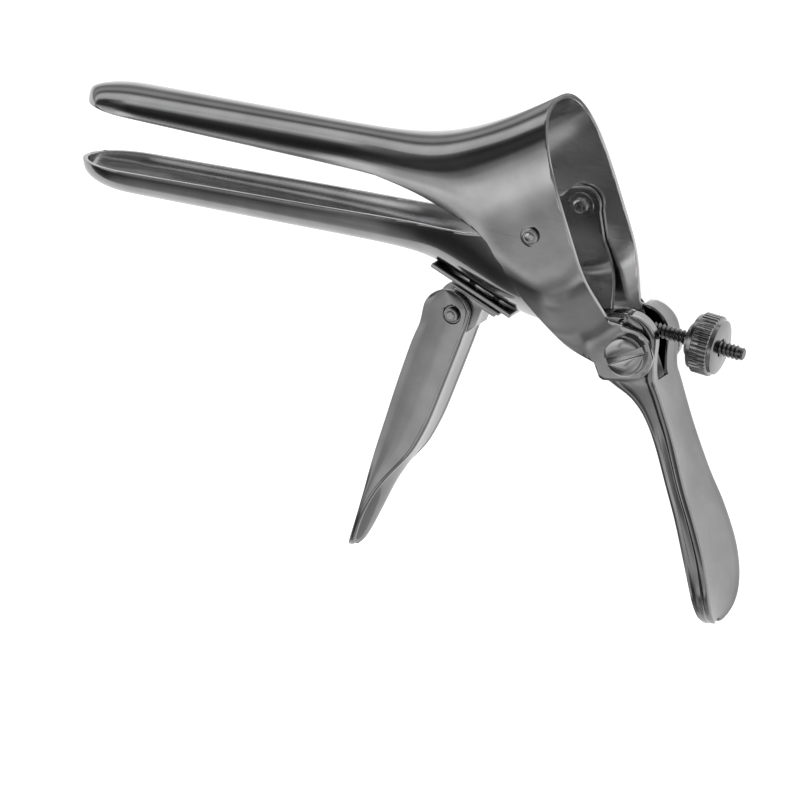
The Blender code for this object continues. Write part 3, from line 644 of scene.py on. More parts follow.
def recess(piece: bpy.types.Object, place: Point, inner: float, outer: float, depth: float) -> None:
    """Turn a ring groove into both faces of a piece, round a rivet or pin that lies along Z.

    Args:
        piece: The piece.
        place: The middle of the rivet, midway between the faces.
        inner: The inner radius of the groove.
        outer: Its outer radius.
        depth: How far each groove's floor lies from the middle.
    """
    reach = depth + CUT_REACH
    profile = [(inner, depth), (inner, reach), (outer, reach), (outer, depth), (inner, depth)]
    for turn in (0.0, math.pi):
        ring = lathe("groove", profile, 48)
        ring.rotation_euler.x = turn
        ring.location = place
        settle(ring)
        cut_away(piece, ring)
    only(piece)
    bpy.ops.object.shade_smooth_by_angle(angle=math.radians(SHARP))


class Fitter:
    """Takes sheet pieces over from the frame, dresses them and hands them to their bodies."""

    def __init__(self, nodes: dict[str, bpy.types.Object]) -> None:
        """Keep the frame's nodes.

        Args:
            nodes: The frame's objects by name.
        """
        self.nodes = nodes
        self.made: dict[str, bpy.types.Material] = {}

    def material(self, steel: SteelFinish) -> bpy.types.Material:
        """Find the material of a finish, or make it.

        Args:
            steel: The finish.

        Returns:
            Its material.
        """
        if steel.name not in self.made:
            self.made[steel.name] = steel.material()
        return self.made[steel.name]

    def copy_of(self, node: str, name: str) -> bpy.types.Object:
        """Copy a node's mesh, join its loose triangles and pair them to quads.

        Args:
            node: The node's name.
            name: The new piece's name.

        Returns:
            The new piece.
        """
        piece = bpy.data.objects.new(name, self.nodes[node].data.copy())
        piece.data.name = name
        bpy.context.scene.collection.objects.link(piece)
        only(piece)
        with editing():
            bpy.ops.mesh.remove_doubles(threshold=FINE_MERGE)
            bpy.ops.mesh.dissolve_limited(angle_limit=math.radians(0.2))
            bpy.ops.mesh.tris_convert_to_quads(
                face_threshold=math.radians(25), shape_threshold=math.radians(50)
            )
        return piece

    def hand_over(
        self,
        piece: bpy.types.Object,
        body: Body,
        slot: Slot,
        finish: SteelFinish,
        node: str,
        inside: Optional[SteelFinish] = None,
    ) -> None:
        """Give a finished piece its material and its body, and hide the node that it stands for.

        Args:
            piece: The finished piece.
            body: The body it rides on.
            slot: The slot for its finish; not used.
            finish: Its finish.
            node: The node that it replaces.
            inside: The finish of the faces whose index is 1.
        """
        marks = [face.material_index if inside else 0 for face in piece.data.polygons]
        piece.data.materials.clear()
        for steel in (finish, inside):
            if steel:
                piece.data.materials.append(self.material(steel))
        for face, mark in zip(piece.data.polygons, marks):
            face.material_index = min(mark, 1)
        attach(piece, body.value)
        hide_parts(node)
        LOG.info("%s rides on %s with %d faces", piece.name, body.value, len(piece.data.polygons))


@dataclass(frozen=True)
class PressedSheet:
    """Sizes that both pressed valves share, in metres from the pivot in the side view.

    The half width runs from the flat cheeks (collar_half) over a long taper (throat_flat to
    throat) or, towards the lugs, a short one (cheek_flat to neck) to the blade (blade_half).
    """

    thickness: float = 0.0010
    nest_gap: float = 0.0005
    blade_half: float = 0.0085
    collar_half: float = 0.0150
    cheek_flat: float = 0.0120
    neck: float = 0.0256
    throat_flat: float = 0.0100
    throat: float = 0.0400
    lug_turn: float = math.radians(75.0)
    nest_turn: float = math.radians(12.0)
    nest_taper: float = 0.0012
    nest_span: tuple[float, float] = (0.0070, 0.0190)
    blade_span: tuple[float, float] = (0.0260, 0.0400)
    slope_step: float = 0.0001
    tip_length: float = 0.0110
    tip_lip: float = 0.0018
    tip_rows: int = 18
    blade_rows: int = 30
    trim_margin: float = 0.0016
    trim_reach: float = 0.03
    trim_merge: float = 0.00004
    rounding: float = 0.00010
    round_angle: float = 50.0
    around: int = 24
    along: int = 24
    neck_span: tuple[float, float] = (-0.062, 0.004)
    neck_passes: int = 45

    def outer_half(self, spot: Vector, turned: float = 0.0) -> float:
        """Half width of the outer collar at a point of the side view.

        Args:
            spot: The point, from the pivot.
            turned: How far the point is turned towards the screw lugs first.

        Returns:
            The half width, with a long taper to the throat and a short one to the lugs.
        """
        to_lug = ease(math.atan2(-spot.y, -spot.x) + turned, 0.0, self.lug_turn)
        flat = self.throat_flat + (self.cheek_flat - self.throat_flat) * to_lug
        end = self.throat + (self.neck - self.throat) * to_lug
        share = ease(spot.length, flat, end)
        return self.collar_half + (self.blade_half - self.collar_half) * share

    def inner_half(self, spot: Vector) -> float:
        """Half width of the nested collar, which grows to the full blade past the neck.

        Args:
            spot: The point, from the pivot.

        Returns:
            The half width.
        """
        step = spot.normalized() * self.slope_step
        near, here, far = (
            self.outer_half(place, self.nest_turn) for place in (spot - step, spot, spot + step)
        )
        slope = (far - near) / (2 * step.length)
        nested = here - self.thickness * math.hypot(1.0, slope) - self.nest_gap
        nested -= self.nest_taper * ease(spot.length, *self.nest_span)
        return nested + (self.blade_half - nested) * ease(spot.length, *self.blade_span)


@dataclass(frozen=True)
class Section:
    """One cross-section of a valve, a straight line in the side view.

    Args:
        back: The point on the crown or the keel.
        foot: The point at the other end of the line.
        depth: How far the section curves before its walls run straight.
        fullness: The share of the full width, below 1 in the rounded tip.
        power: The roundness of the curve, 2 for an ellipse.
    """

    back: Vector
    foot: Vector
    depth: float
    fullness: float = 1.0
    power: float = 2.0


class ValveLoft:
    """Lofts a smooth pressed sheet through its sections and trims it to its outline."""

    def __init__(self, sheet: PressedSheet, width_at: Callable[[Vector, Section], float]) -> None:
        """Keep the sizes and the rule for the width.

        Args:
            sheet: The shared sizes.
            width_at: The half width of the sheet at a point of a section.
        """
        self.sheet = sheet
        self.width_at = width_at

    def points(self, section: Section) -> list[Point]:
        """Points of one half section, from the back line over the curve to the foot.

        Args:
            section: The section.

        Returns:
            The points, with their heights from the mid-plane.
        """
        run = section.foot - section.back
        length = run.length
        toward = run / length
        corner = min(section.depth, length * 0.9)
        found = []
        for index in range(self.sheet.around):
            angle = math.pi / 2 * (index / self.sheet.around) ** (section.power / 2)
            down = 1 - math.cos(angle) ** (2 / section.power)
            out = math.sin(angle) ** (2 / section.power)
            spot = section.back + toward * corner * down
            found.append((spot.x, spot.y, self.width_at(spot, section) * out * section.fullness))
        for index in range(self.sheet.along + 1):
            spot = section.back + toward * (corner + (length - corner) * index / self.sheet.along)
            found.append((spot.x, spot.y, self.width_at(spot, section) * section.fullness))
        return self.spaced(found)

    def spaced(self, line: list[Point]) -> list[Point]:
        """Space the points of a section evenly along it.

        Args:
            line: The section's points.

        Returns:
            As many points, evenly spaced.
        """
        gone = [0.0]
        for before, after in zip(line, line[1:]):
            gone.append(gone[-1] + math.dist(before, after))
        found = []
        index = 0
        for step in range(len(line)):
            at = gone[-1] * step / (len(line) - 1)
            while index < len(line) - 2 and gone[index + 1] < at:
                index += 1
            part = (at - gone[index]) / max(gone[index + 1] - gone[index], 1e-12)
            found.append(tuple(a + (b - a) * part for a, b in zip(line[index], line[index + 1])))
        return found

    def blended(self, table: list[list[Point]]) -> list[list[Point]]:
        """Even out the sheet along its length, where the blade turns into the funnel.

        Args:
            table: The points of each section, from the tip to the rear.

        Returns:
            The table with softer changes from section to section.
        """
        low, high = self.sheet.neck_span
        margin = (high - low) / 4
        shares = []
        for row in table:
            x = row[0][0]
            shares.append(0.5 * ease(x, low, low + margin) * (1 - ease(x, high - margin, high)))
        for _ in range(self.sheet.neck_passes):
            before = table
            table = [before[0]]
            for share, left, row, right in zip(shares[1:], before, before[1:], before[2:]):
                if share == 0.0:
                    table.append(row)
                    continue
                table.append([
                    tuple(b + share * ((a + c) / 2 - b) for a, b, c in zip(*spots))
                    for spots in zip(left, row, right)
                ])
            table.append(before[-1])
        return table

    def sheet_piece(
        self, name: str, sections: list[Section], up: float
    ) -> bpy.types.Object:
        """Shape a grid into the near half, mirror it and give it its thickness.

        Args:
            name: The piece's name.
            sections: The sections from the tip to the rear.
            up: 1 where the back faces up, -1 where it faces down.

        Returns:
            The untrimmed sheet.
        """
        table = self.blended([self.points(section) for section in sections])
        piece = grid_through(name, table)
        mirror = piece.modifiers.new("both_sides", "MIRROR")
        mirror.use_axis = (False, False, True)
        mirror.use_clip = True
        mirror.merge_threshold = MERGE
        apply_all(piece)
        with editing():
            bpy.ops.mesh.remove_doubles(threshold=MERGE)
            bpy.ops.mesh.vertices_smooth(factor=0.5, repeat=6)
            bpy.ops.mesh.normals_make_consistent(inside=False)
        crown = max(piece.data.polygons, key=lambda face: up * face.center.y)
        if crown.normal.y * up < 0:
            with editing():
                bpy.ops.mesh.flip_normals()
        wall = piece.modifiers.new("thickness", "SOLIDIFY")
        wall.thickness = self.sheet.thickness
        wall.offset = -1.0
        wall.use_even_offset = True
        wall.material_offset = 1
        for side in ("outside", "inside"):
            piece.data.materials.append(bpy.data.materials.new(name + "_" + side))
        apply_all(piece)
        return piece

    def trim(self, piece: bpy.types.Object, outline: Profile) -> None:
        """Keep what lies inside an outline of the side view, and round the cut edges.

        Args:
            piece: The sheet, which is also moved up to its place over the table.
            outline: The outline's corners.
        """
        reach = self.sheet.trim_reach
        cut_away(piece, outline_block("keep", outline, -reach, reach), keep_common=True)
        only(piece)
        with editing():
            bpy.ops.mesh.remove_doubles(threshold=self.sheet.trim_merge)
        piece.location.z = MID_PLANE
        settle(piece)
        round_edges(piece, self.sheet.rounding, 2, self.sheet.round_angle, clamp=False)


@dataclass
class UpperValve:
    """The upper blade with the outer half of the funnel, its cheeks and its screw lugs."""

    fitter: Fitter
    sheet: PressedSheet = PressedSheet()
    tip: float = -0.1023
    straight_end: float = -0.0360
    throat_crown: float = 0.0150
    throat_edge: float = 0.0079
    crown_rise: float = math.tan(math.radians(4.6))
    edge_rise: float = math.tan(math.radians(6.8))
    rim_top: float = 0.0002
    rim_lean: float = math.radians(18.2)
    collar_height: float = 0.0258
    crown_slope: float = 0.56
    cheek_top: float = 0.004
    cheek_blur: float = 0.0015
    collar_depth: float = 0.0220
    collar_start: float = -0.0090
    squareness: float = 0.55
    edge_margin: tuple[float, float] = (0.0012, 0.0020)
    rim_rows: tuple[tuple[float, float], ...] = (
        (0.0, 0.0135), (0.0038, 0.0195), (0.0080, 0.0275),
    )
    rim_foot: float = -0.0350
    lug: Point = (*SCREW_AXIS, 0.0057)
    lug_end: float = 62.0
    lug_gap: float = 0.0010
    keep_tip: float = 0.006
    keep_height: float = 0.060
    keep_above: float = -0.035
    keep_bend: float = -0.050
    rivet_recess: Point = (0.0012, 0.0022, 0.0146)
    front_edge: tuple[tuple[float, float, float], ...] = (
        (-0.0360, -0.0360, 0.0079),
        (-0.0285, -0.0234, 0.0047),
        (-0.0222, -0.0118, -0.0003),
        (-0.0168, -0.0066, -0.0068),
        (-0.0115, -0.0008, -0.0155),
        (-0.0072, 0.0050, -0.0232),
        (-0.0034, 0.0112, -0.0267),
    )

    def crown(self, x: float) -> float:
        """Height of the crown line at an x.

        Args:
            x: The x in the side view.

        Returns:
            The height.
        """
        if x <= self.straight_end:
            return self.throat_crown + (self.straight_end - x) * self.crown_rise
        span = self.rim_top - self.straight_end
        t = (x - self.straight_end) / span
        if t > 1.0:
            return self.collar_height + (x - self.rim_top) * self.crown_slope
        return (
            (2 * t**3 - 3 * t**2 + 1) * self.throat_crown
            - (t**3 - 2 * t**2 + t) * self.crown_rise * span
            + (3 * t**2 - 2 * t**3) * self.collar_height
            + (t**3 - t**2) * self.crown_slope * span
        )

    def edge(self, x: float) -> float:
        """Height of the blade's lower edge at an x of its straight part.

        Args:
            x: The x in the side view.

        Returns:
            The height.
        """
        return self.throat_edge + (self.straight_end - x) * self.edge_rise

    def width(self, spot: Vector, section: Section) -> float:
        """Half width: the pivot's cheek below, carried smoothly straight up above.

        Args:
            spot: The point in the side view.
            section: The section that it belongs to.

        Returns:
            The half width.
        """
        level = max(self.cheek_top, section.foot.y)
        over = max(min((spot.y - level) / self.cheek_blur, 30.0), -30.0)
        height = spot.y - self.cheek_blur * math.log(1.0 + math.exp(over))
        height = max(height, section.foot.y)
        share = (section.back.y - height) / (section.back.y - section.foot.y)
        return self.sheet.outer_half(section.back + (section.foot - section.back) * share)

    def sections(self) -> list[Section]:
        """Sections from the rounded tip to behind the rim.

        Returns:
            The sections in order.
        """
        found = blade_sections(self.sheet, self.tip, self.straight_end, self.crown, self.edge)
        rows = [
            (x, self.crown(x), ex - self.edge_margin[0], ey - self.edge_margin[1])
            for x, ex, ey in self.front_edge
        ]
        rows += [(x, self.crown(x), foot_x, self.rim_foot) for x, foot_x in self.rim_rows]
        for x, y, foot_x, foot_y in curve_through(rows, 8):
            grown = ease(x, self.straight_end, self.collar_start)
            drop = y - self.edge(min(x, self.straight_end))
            depth = drop + (self.collar_depth - drop) * grown
            power = 2.0 + self.squareness * grown
            found.append(Section(Vector((x, y)), Vector((foot_x, foot_y)), depth, 1.0, power))
        return found

    def outline(self) -> Profile:
        """What is kept in the side view: blade, cheek and screw lug.

        Returns:
            The corners.
        """
        x, y, radius = self.lug
        before_tip = self.tip - self.keep_tip
        found = [(before_tip, self.keep_height), (before_tip, self.edge(before_tip))]
        found.append((self.keep_bend, self.edge(self.keep_bend)))
        found += curve_through([(ex, ey) for _, ex, ey in self.front_edge], 10)
        found.append((x - radius - 0.0002, y - radius + 0.0005))
        found.append((x - radius + 0.0006, y - radius))
        found += arc(x, y, radius, -90.0, self.lug_end, 24)
        rim_end = y + radius + self.lug_gap
        down = (self.collar_height - rim_end) / math.cos(self.rim_lean)
        for drop in (down, self.keep_above):
            rim_x = self.rim_top + drop * math.sin(self.rim_lean)
            found.append((rim_x, self.collar_height - drop * math.cos(self.rim_lean)))
        return found

    def build(self) -> None:
        """Loft, trim and polish the upper valve."""
        finish = SteelFinish("polished_upper_valve", 0.36, 0.13, turn=BLADE_LIE)
        # The inside's grey of 0.92, far lighter than the outside's 0.36, is painted light: it
        # brightens the funnel's hollow, which its own reflections leave dark.
        inside = SteelFinish("satin_painted_light_upper_valve", 0.92, 0.20, turn=BLADE_LIE, depth=0.015)
        loft = ValveLoft(self.sheet, self.width)
        piece = loft.sheet_piece("upper_valve_sheet", self.sections(), 1.0)
        loft.trim(piece, self.outline())
        recess(piece, (0.0, 0.0, MID_PLANE), *self.rivet_recess)
        self.fitter.hand_over(piece, Body.UPPER, Slot.POLISHED, finish, "upper_blade", inside)


@dataclass
class LowerValve:
    """The lower blade with the nested half of the funnel and its two pivot ears."""

    fitter: Fitter
    sheet: PressedSheet = PressedSheet()
    tip: float = -0.1036
    straight_end: float = -0.0310
    throat_keel: float = -0.0086
    throat_edge: float = -0.0013
    keel_rise: float = math.tan(math.radians(5.2))
    edge_rise: float = math.tan(math.radians(4.1))
    keel_depth: float = 0.0075
    ear: float = 0.0042
    ear_arc: tuple[float, float] = (-14.0, 136.0)
    full_depth: float = -0.0080
    keep_tip: float = 0.004
    keep_depth: float = -0.060
    keep_rear: float = 0.0128
    rear_edge: tuple[tuple[float, float], ...] = (
        (0.0108, -0.0240), (0.0104, -0.0197), (0.0081, -0.0137), (0.0050, -0.0070),
    )
    cheek_edge: tuple[tuple[float, float], ...] = (
        (-0.0062, 0.0008), (-0.0105, -0.0010), (-0.0160, -0.0017), (-0.0230, -0.0017),
    )
    funnel: tuple[tuple[float, float, float, float], ...] = (
        (-0.0310, -0.0086, -0.0310, 0.0010),
        (-0.0255, -0.0102, -0.0255, 0.0016),
        (-0.0197, -0.0133, -0.0195, 0.0026),
        (-0.0138, -0.0164, -0.0130, 0.0042),
        (-0.0080, -0.0195, -0.0075, 0.0065),
        (-0.0030, -0.0209, -0.0025, 0.0080),
        (0.0030, -0.0214, 0.0030, 0.0080),
        (0.0090, -0.0214, 0.0090, 0.0080),
        (0.0140, -0.0213, 0.0140, 0.0080),
    )

    def keel(self, x: float) -> float:
        """Height of the keel at an x of its straight part.

        Args:
            x: The x in the side view.

        Returns:
            The height.
        """
        return self.throat_keel + (self.straight_end - x) * self.keel_rise

    def edge(self, x: float) -> float:
        """Height of the blade's upper edge at an x of its straight part.

        Args:
            x: The x in the side view.

        Returns:
            The height.
        """
        return self.throat_edge + (self.straight_end - x) * self.edge_rise

    def width(self, spot: Vector, section: Section) -> float:
        """Half width, nested in the upper valve's.

        Args:
            spot: The point in the side view.
            section: The section that it belongs to; not used.

        Returns:
            The half width.
        """
        return self.sheet.inner_half(spot)

    def sections(self) -> list[Section]:
        """Sections from the rounded tip to behind the rear edge.

        Returns:
            The sections in order.
        """
        found = blade_sections(self.sheet, self.tip, self.straight_end, self.keel, self.edge)
        shallow = self.throat_edge - self.throat_keel
        for x, y, head_x, head_y in curve_through(self.funnel, 7):
            grown = ease(x, self.straight_end, self.full_depth)
            depth = shallow + (self.keel_depth - shallow) * grown
            found.append(Section(Vector((x, y)), Vector((head_x, head_y)), depth))
        return found

    def outline(self) -> Profile:
        """What is kept in the side view: blade, cheek and pivot ear.

        Returns:
            The corners.
        """
        before_tip = self.tip - self.keep_tip
        found = [(before_tip, self.keep_depth), (self.keep_rear, self.keep_depth)]
        found += self.rear_edge
        found += arc(0.0, 0.0, self.ear, *self.ear_arc, 24)
        found += [*self.cheek_edge, (self.straight_end, self.throat_edge)]
        found.append((before_tip, self.edge(before_tip)))
        return found

    def build(self) -> None:
        """Loft, trim and polish the lower valve."""
        # Its grey of 0.32, darker than the upper valve's 0.36 for the same steel, is painted shade
        # for the dark strip under the upper valve's front edge.
        finish = SteelFinish("polished_painted_shade_lower_valve", 0.32, 0.13, turn=BLADE_LIE)
        inside = SteelFinish("satin_lower_valve", 0.40, 0.20, turn=BLADE_LIE, depth=0.015)
        loft = ValveLoft(self.sheet, self.width)
        piece = loft.sheet_piece("lower_valve_sheet", self.sections(), -1.0)
        loft.trim(piece, self.outline())
        self.fitter.hand_over(piece, Body.LOWER, Slot.POLISHED, finish, "lower_blade", inside)


@dataclass(frozen=True)
class ChannelRow:
    """One row of a pressed channel in the side view.

    Args:
        y: Its height.
        front: The x of its open front edge.
        rear: The x of its rear face.
        half: Half its width.
        slant: How far the rear corner has moved to the front edge, from 0 to 1.
    """

    y: float
    front: float
    rear: float
    half: float
    slant: float = 0.0


@dataclass(frozen=True)
class ChannelPress:
    """Presses a channel with rolled corner beads and hollows it from the front.

    Args:
        sheet: The thickness of its wall.
        bead: The radius of the beads along its rear corners.
        groove: How deep its faces lie below the beads.
        bow: How far the middle of its rear face stands out.
        side_bow: How far the middle of its side walls stands out.
        overcut: How far the hollow runs out at the open front.
        steepest: The most that a slanting rear face widens the inset.
        bead_in_half: The largest share of the half width that a bead takes.
        bead_in_depth: The largest share of the depth that it takes.
        lip: The share of the side wall over which it sinks from its front edge.
        inner_corner: The radius of the hollow's corners, in sheet thicknesses.
        narrowest: The half width below which there is no hollow, in sheet thicknesses.
        wall_steps: The number of faces across half a side wall.
        bead_steps: The number of faces round a bead.
    """

    sheet: float
    bead: float
    groove: float
    bow: float
    side_bow: float
    overcut: float = 0.010
    steepest: float = 1.8
    bead_in_half: float = 0.45
    bead_in_depth: float = 0.3
    lip: float = 0.18
    inner_corner: float = 0.6
    narrowest: float = 1.5
    wall_steps: int = 14
    bead_steps: int = 8

    def outside(self, row: ChannelRow) -> Profile:
        """Points of half the outer section, from the front edge over the bead to the middle.

        Args:
            row: The row.

        Returns:
            The x and the height of each point.
        """
        deep = row.rear - row.front
        bead = min(self.bead, row.half * self.bead_in_half, deep * self.bead_in_depth)
        groove = self.groove * bead / self.bead
        lift = math.asin((bead - groove) / bead)
        middle = row.rear - bead - row.slant * (deep - 2.2 * bead)
        wall_end = middle - bead * math.cos(lift)
        found = []
        for index in range(self.wall_steps):
            share = index / self.wall_steps
            x = row.front + (wall_end - row.front) * share
            bulge = self.side_bow * math.sin(math.pi * share) * (1 - row.slant)
            found.append((x, row.half - groove * ease(share, 0.0, self.lip) + bulge))
        for index in range(self.bead_steps + 1):
            share = index / self.bead_steps
            angle = (math.pi - lift) * (1 - share) + (lift - math.pi / 2) * share
            height = row.half - bead + bead * math.sin(angle)
            found.append((middle + bead * math.cos(angle), height))
        return found + self.web(found[-1], row.rear - groove)

    def web(self, start: tuple[float, float], rear: float) -> Profile:
        """Points of half the rear face, from the bead to the mid-plane.

        Args:
            start: The last point of the bead.
            rear: The x of the rear face at its edge.

        Returns:
            The x and the height of each point.
        """
        found = []
        for index in range(1, 11):
            share = index / 10
            rise = 1 - (1 - share) ** 2
            x = start[0] + (rear - start[0]) * rise + self.bow * rise
            found.append((x, start[1] * (1 - share)))
        return found

    def inside(self, row: ChannelRow, slope: float) -> Profile:
        """Points of half the hollow's section.

        Args:
            row: The row of the outer section.
            slope: How steeply the rear face slants there.

        Returns:
            The x and the height of each point.
        """
        inset = self.sheet * min(math.sqrt(1 + slope * slope), self.steepest)
        half = row.half - self.sheet
        corner = self.sheet * self.inner_corner
        middle = row.rear - inset - row.slant * (row.rear - row.front) - corner
        found = [(row.front - self.overcut, half), (middle, half)]
        for index in range(1, 5):
            angle = math.pi / 2 * (1 - index / 4)
            x = middle + corner * math.cos(angle)
            found.append((x, half - corner + corner * math.sin(angle)))
        return found + self.web(found[-1], row.rear - inset)

    def bar(self, name: str, sections: list[tuple[float, Profile]]) -> bpy.types.Object:
        """Shape a grid into a closed bar through its sections.

        Args:
            name: The bar's name.
            sections: Each row's height in the side view and its half section.

        Returns:
            The bar.
        """
        rings = []
        for y, half in sections:
            ring = [(x, y, MID_PLANE + z) for x, z in half]
            ring += [(x, y, MID_PLANE - z) for x, z in reversed(half[:-1])]
            rings.append(ring + ring[:1])
        piece = grid_through(name, rings)
        with editing():
            bpy.ops.mesh.remove_doubles(threshold=BAR_MERGE)
            bpy.ops.mesh.fill_holes(sides=0)
            bpy.ops.mesh.normals_make_consistent(inside=False)
        return piece

    def press(
        self, name: str, rows: list[ChannelRow], top: float, bottom: float
    ) -> bpy.types.Object:
        """Press the channel and cut its hollow.

        Args:
            name: The piece's name.
            rows: Its rows from the top down.
            top: Where the hollow ends at the top.
            bottom: Where it ends at the bottom.

        Returns:
            The channel.
        """
        piece = self.bar(name, [(row.y, self.outside(row)) for row in rows])
        hollow = []
        for above, row, below in zip(rows, rows[1:], rows[2:]):
            if bottom <= row.y <= top and row.half > self.sheet * self.narrowest:
                slope = (above.rear - below.rear) / (above.y - below.y)
                hollow.append((row.y, self.inside(row, slope)))
        hollow.insert(0, (top, hollow[0][1]))
        cut_away(piece, self.bar(name + "_hollow", hollow))
        return piece


@dataclass
class Handles:
    """The long handle with its rolled corners and the folding thumb lever."""

    fitter: Fitter
    handle_press: ChannelPress = ChannelPress(0.0012, 0.00080, 0.00034, -0.0004, 0.00018)
    lever_press: ChannelPress = ChannelPress(0.0010, 0.00055, 0.00024, -0.0002, -0.00022)
    handle_top: float = -0.0166
    handle_tip: float = -0.0805
    handle_half: float = 0.0072
    neck_half: float = 0.0069
    paddle_half: float = 0.0096
    screw: Point = (*SCREW_AXIS, 0.0021)
    fork_bottom: float = -0.0305
    fork_width: float = 0.0052
    pin: Point = (*LEVER_AXIS, 0.0013)
    lever_half: float = 0.0046
    head_radius: float = 0.0052
    head_offset: float = 0.0011
    lever_stop: float = -0.0247
    lever_tip: float = -0.0720
    lever_recess: float = 0.00190
    slant_start: float = -0.0490
    slant_end: float = -0.0680
    handle_lie: float = math.radians(-72.0)
    lever_lie: float = math.radians(70.0)
    rounding: float = 0.00012
    round_angle: float = 48.0
    widening: tuple[float, ...] = (0.42, 0.78, 1.0, 1.0)
    narrowing: tuple[float, ...] = (0.92, 0.72, 0.42, 0.16)
    lever_shares: tuple[float, ...] = (*[1.0] * 6, 0.98, 0.95, 0.87, 0.72, 0.50, 0.22)
    head_angles: tuple[float, ...] = (80.0, 66.0, 52.0, 38.0, 24.0, 8.0)
    handle_side: tuple[Point, ...] = (
        (-0.0166, 0.0173, 0.0190),
        (-0.0171, 0.0172, 0.0206),
        (-0.0185, 0.0168, 0.0224),
        (-0.0203, 0.0158, 0.0235),
        (-0.0223, 0.0138, 0.0238),
        (-0.0262, 0.0129, 0.0234),
        (-0.0295, 0.0131, 0.0234),
        (-0.0312, 0.0150, 0.0239),
        (-0.0335, 0.0184, 0.0247),
        (-0.0370, 0.0212, 0.0258),
        (-0.0425, 0.0236, 0.0276),
        (-0.0510, 0.0266, 0.0303),
        (-0.0575, 0.0289, 0.0328),
        (-0.0646, 0.0308, 0.0350),
        (-0.0700, 0.0320, 0.0360),
        (-0.0745, 0.0327, 0.0363),
        (-0.0778, 0.0331, 0.0361),
        (-0.0797, 0.0334, 0.0356),
        (-0.0805, 0.0337, 0.0350),
    )
    lever_side: tuple[Point, ...] = (
        (-0.0230, -0.0283, -0.0180),
        (-0.0255, -0.0294, -0.0190),
        (-0.0282, -0.0305, -0.0200),
        (-0.0355, -0.0331, -0.0229),
        (-0.0440, -0.0359, -0.0264),
        (-0.0504, -0.0380, -0.0299),
        (-0.0550, -0.0394, -0.0329),
        (-0.0585, -0.0404, -0.0351),
        (-0.0640, -0.0421, -0.0379),
        (-0.0682, -0.0436, -0.0401),
        (-0.0708, -0.0447, -0.0418),
        (-0.0720, -0.0453, -0.0432),
    )

    def build(self) -> None:
        """Press both channels, cut their openings and round their edges."""
        handle_finish = SteelFinish("polished_handle", 0.26, 0.14, turn=self.handle_lie)
        lever_finish = SteelFinish("polished_lever", 0.30, 0.14, turn=self.lever_lie)
        for piece, body, finish, node in (
            (self.handle(), Body.UPPER, handle_finish, "long_handle"),
            (self.lever(), Body.LEVER, lever_finish, "thumb_lever"),
        ):
            round_edges(piece, self.rounding, 2, self.round_angle, clamp=False)
            self.fitter.hand_over(piece, body, Slot.POLISHED, finish, node)

    def handle(self) -> bpy.types.Object:
        """Press the long handle, fork its hood and drill it for its screws.

        Returns:
            The handle.
        """
        neck = self.neck_half
        wide = self.paddle_half
        halves = [self.handle_half] * 8 + [(self.handle_half + neck) / 2, neck, neck]
        halves += [neck + (wide - neck) * share for share in self.widening]
        halves += [wide * share for share in self.narrowing]
        rows = [(*side, half) for side, half in zip(self.handle_side, halves)]
        smooth = [ChannelRow(*row) for row in curve_through(rows, 4)]
        sheet = self.handle_press.sheet
        piece = self.handle_press.press(
            "handle_channel", smooth, self.handle_top - sheet, self.handle_tip + sheet
        )
        top = self.handle_top + self.handle_press.overcut
        self.open_and_drill(piece, self.screw, (self.fork_bottom, top), self.fork_width / 2)
        return piece

    def lever(self) -> bpy.types.Object:
        """Press the thumb lever, open its head and drill it for its pin.

        Returns:
            The lever.
        """
        x, y, radius = self.pin
        rows = []
        for degrees in self.head_angles:
            angle = math.radians(degrees)
            reach = self.head_radius * math.cos(angle)
            middle = x - self.head_offset
            height = y + self.head_radius * math.sin(angle)
            rows.append((height, middle - reach, middle + reach, self.lever_half))
        for side, share in zip(self.lever_side, self.lever_shares):
            rows.append((*side, self.lever_half * share))
        smooth = []
        for row in curve_through(rows, 5):
            slant = ease(-row[0], -self.slant_start, -self.slant_end)
            smooth.append(ChannelRow(*row, slant))
        press = self.lever_press
        top, bottom = y + self.head_radius, self.lever_tip + press.sheet
        piece = press.press("lever_channel", smooth, top, bottom)
        open_from = (self.lever_stop, y + press.overcut)
        self.open_and_drill(piece, self.pin, open_from, self.lever_half - press.sheet)
        inner, floor = radius - 0.0002, self.lever_half - 0.0006
        recess(piece, (x, y, MID_PLANE), inner, self.lever_recess, floor)
        return piece

    def open_and_drill(
        self, piece: bpy.types.Object, hole: Point, span: tuple[float, float], half: float
    ) -> None:
        """Cut a slot through a channel's top and drill a hole through both its walls.

        Args:
            piece: The channel.
            hole: The hole's x, y and radius.
            span: The heights in the side view between which the slot runs.
            half: Half the slot's width.
        """
        x, y, radius = hole
        reach = self.handle_press.overcut
        low = Vector((x - reach, span[0], MID_PLANE - half))
        high = Vector((x + reach, span[1], MID_PLANE + half))
        cut_away(piece, box_piece("box_cut", (low + high) / 2, high - low))
        place = (x, y, MID_PLANE)
        bpy.ops.mesh.primitive_cylinder_add(
            vertices=48, radius=radius, depth=DRILL_LENGTH, location=place
        )
        drill = named("drill")
        settle(drill)
        cut_away(piece, drill)


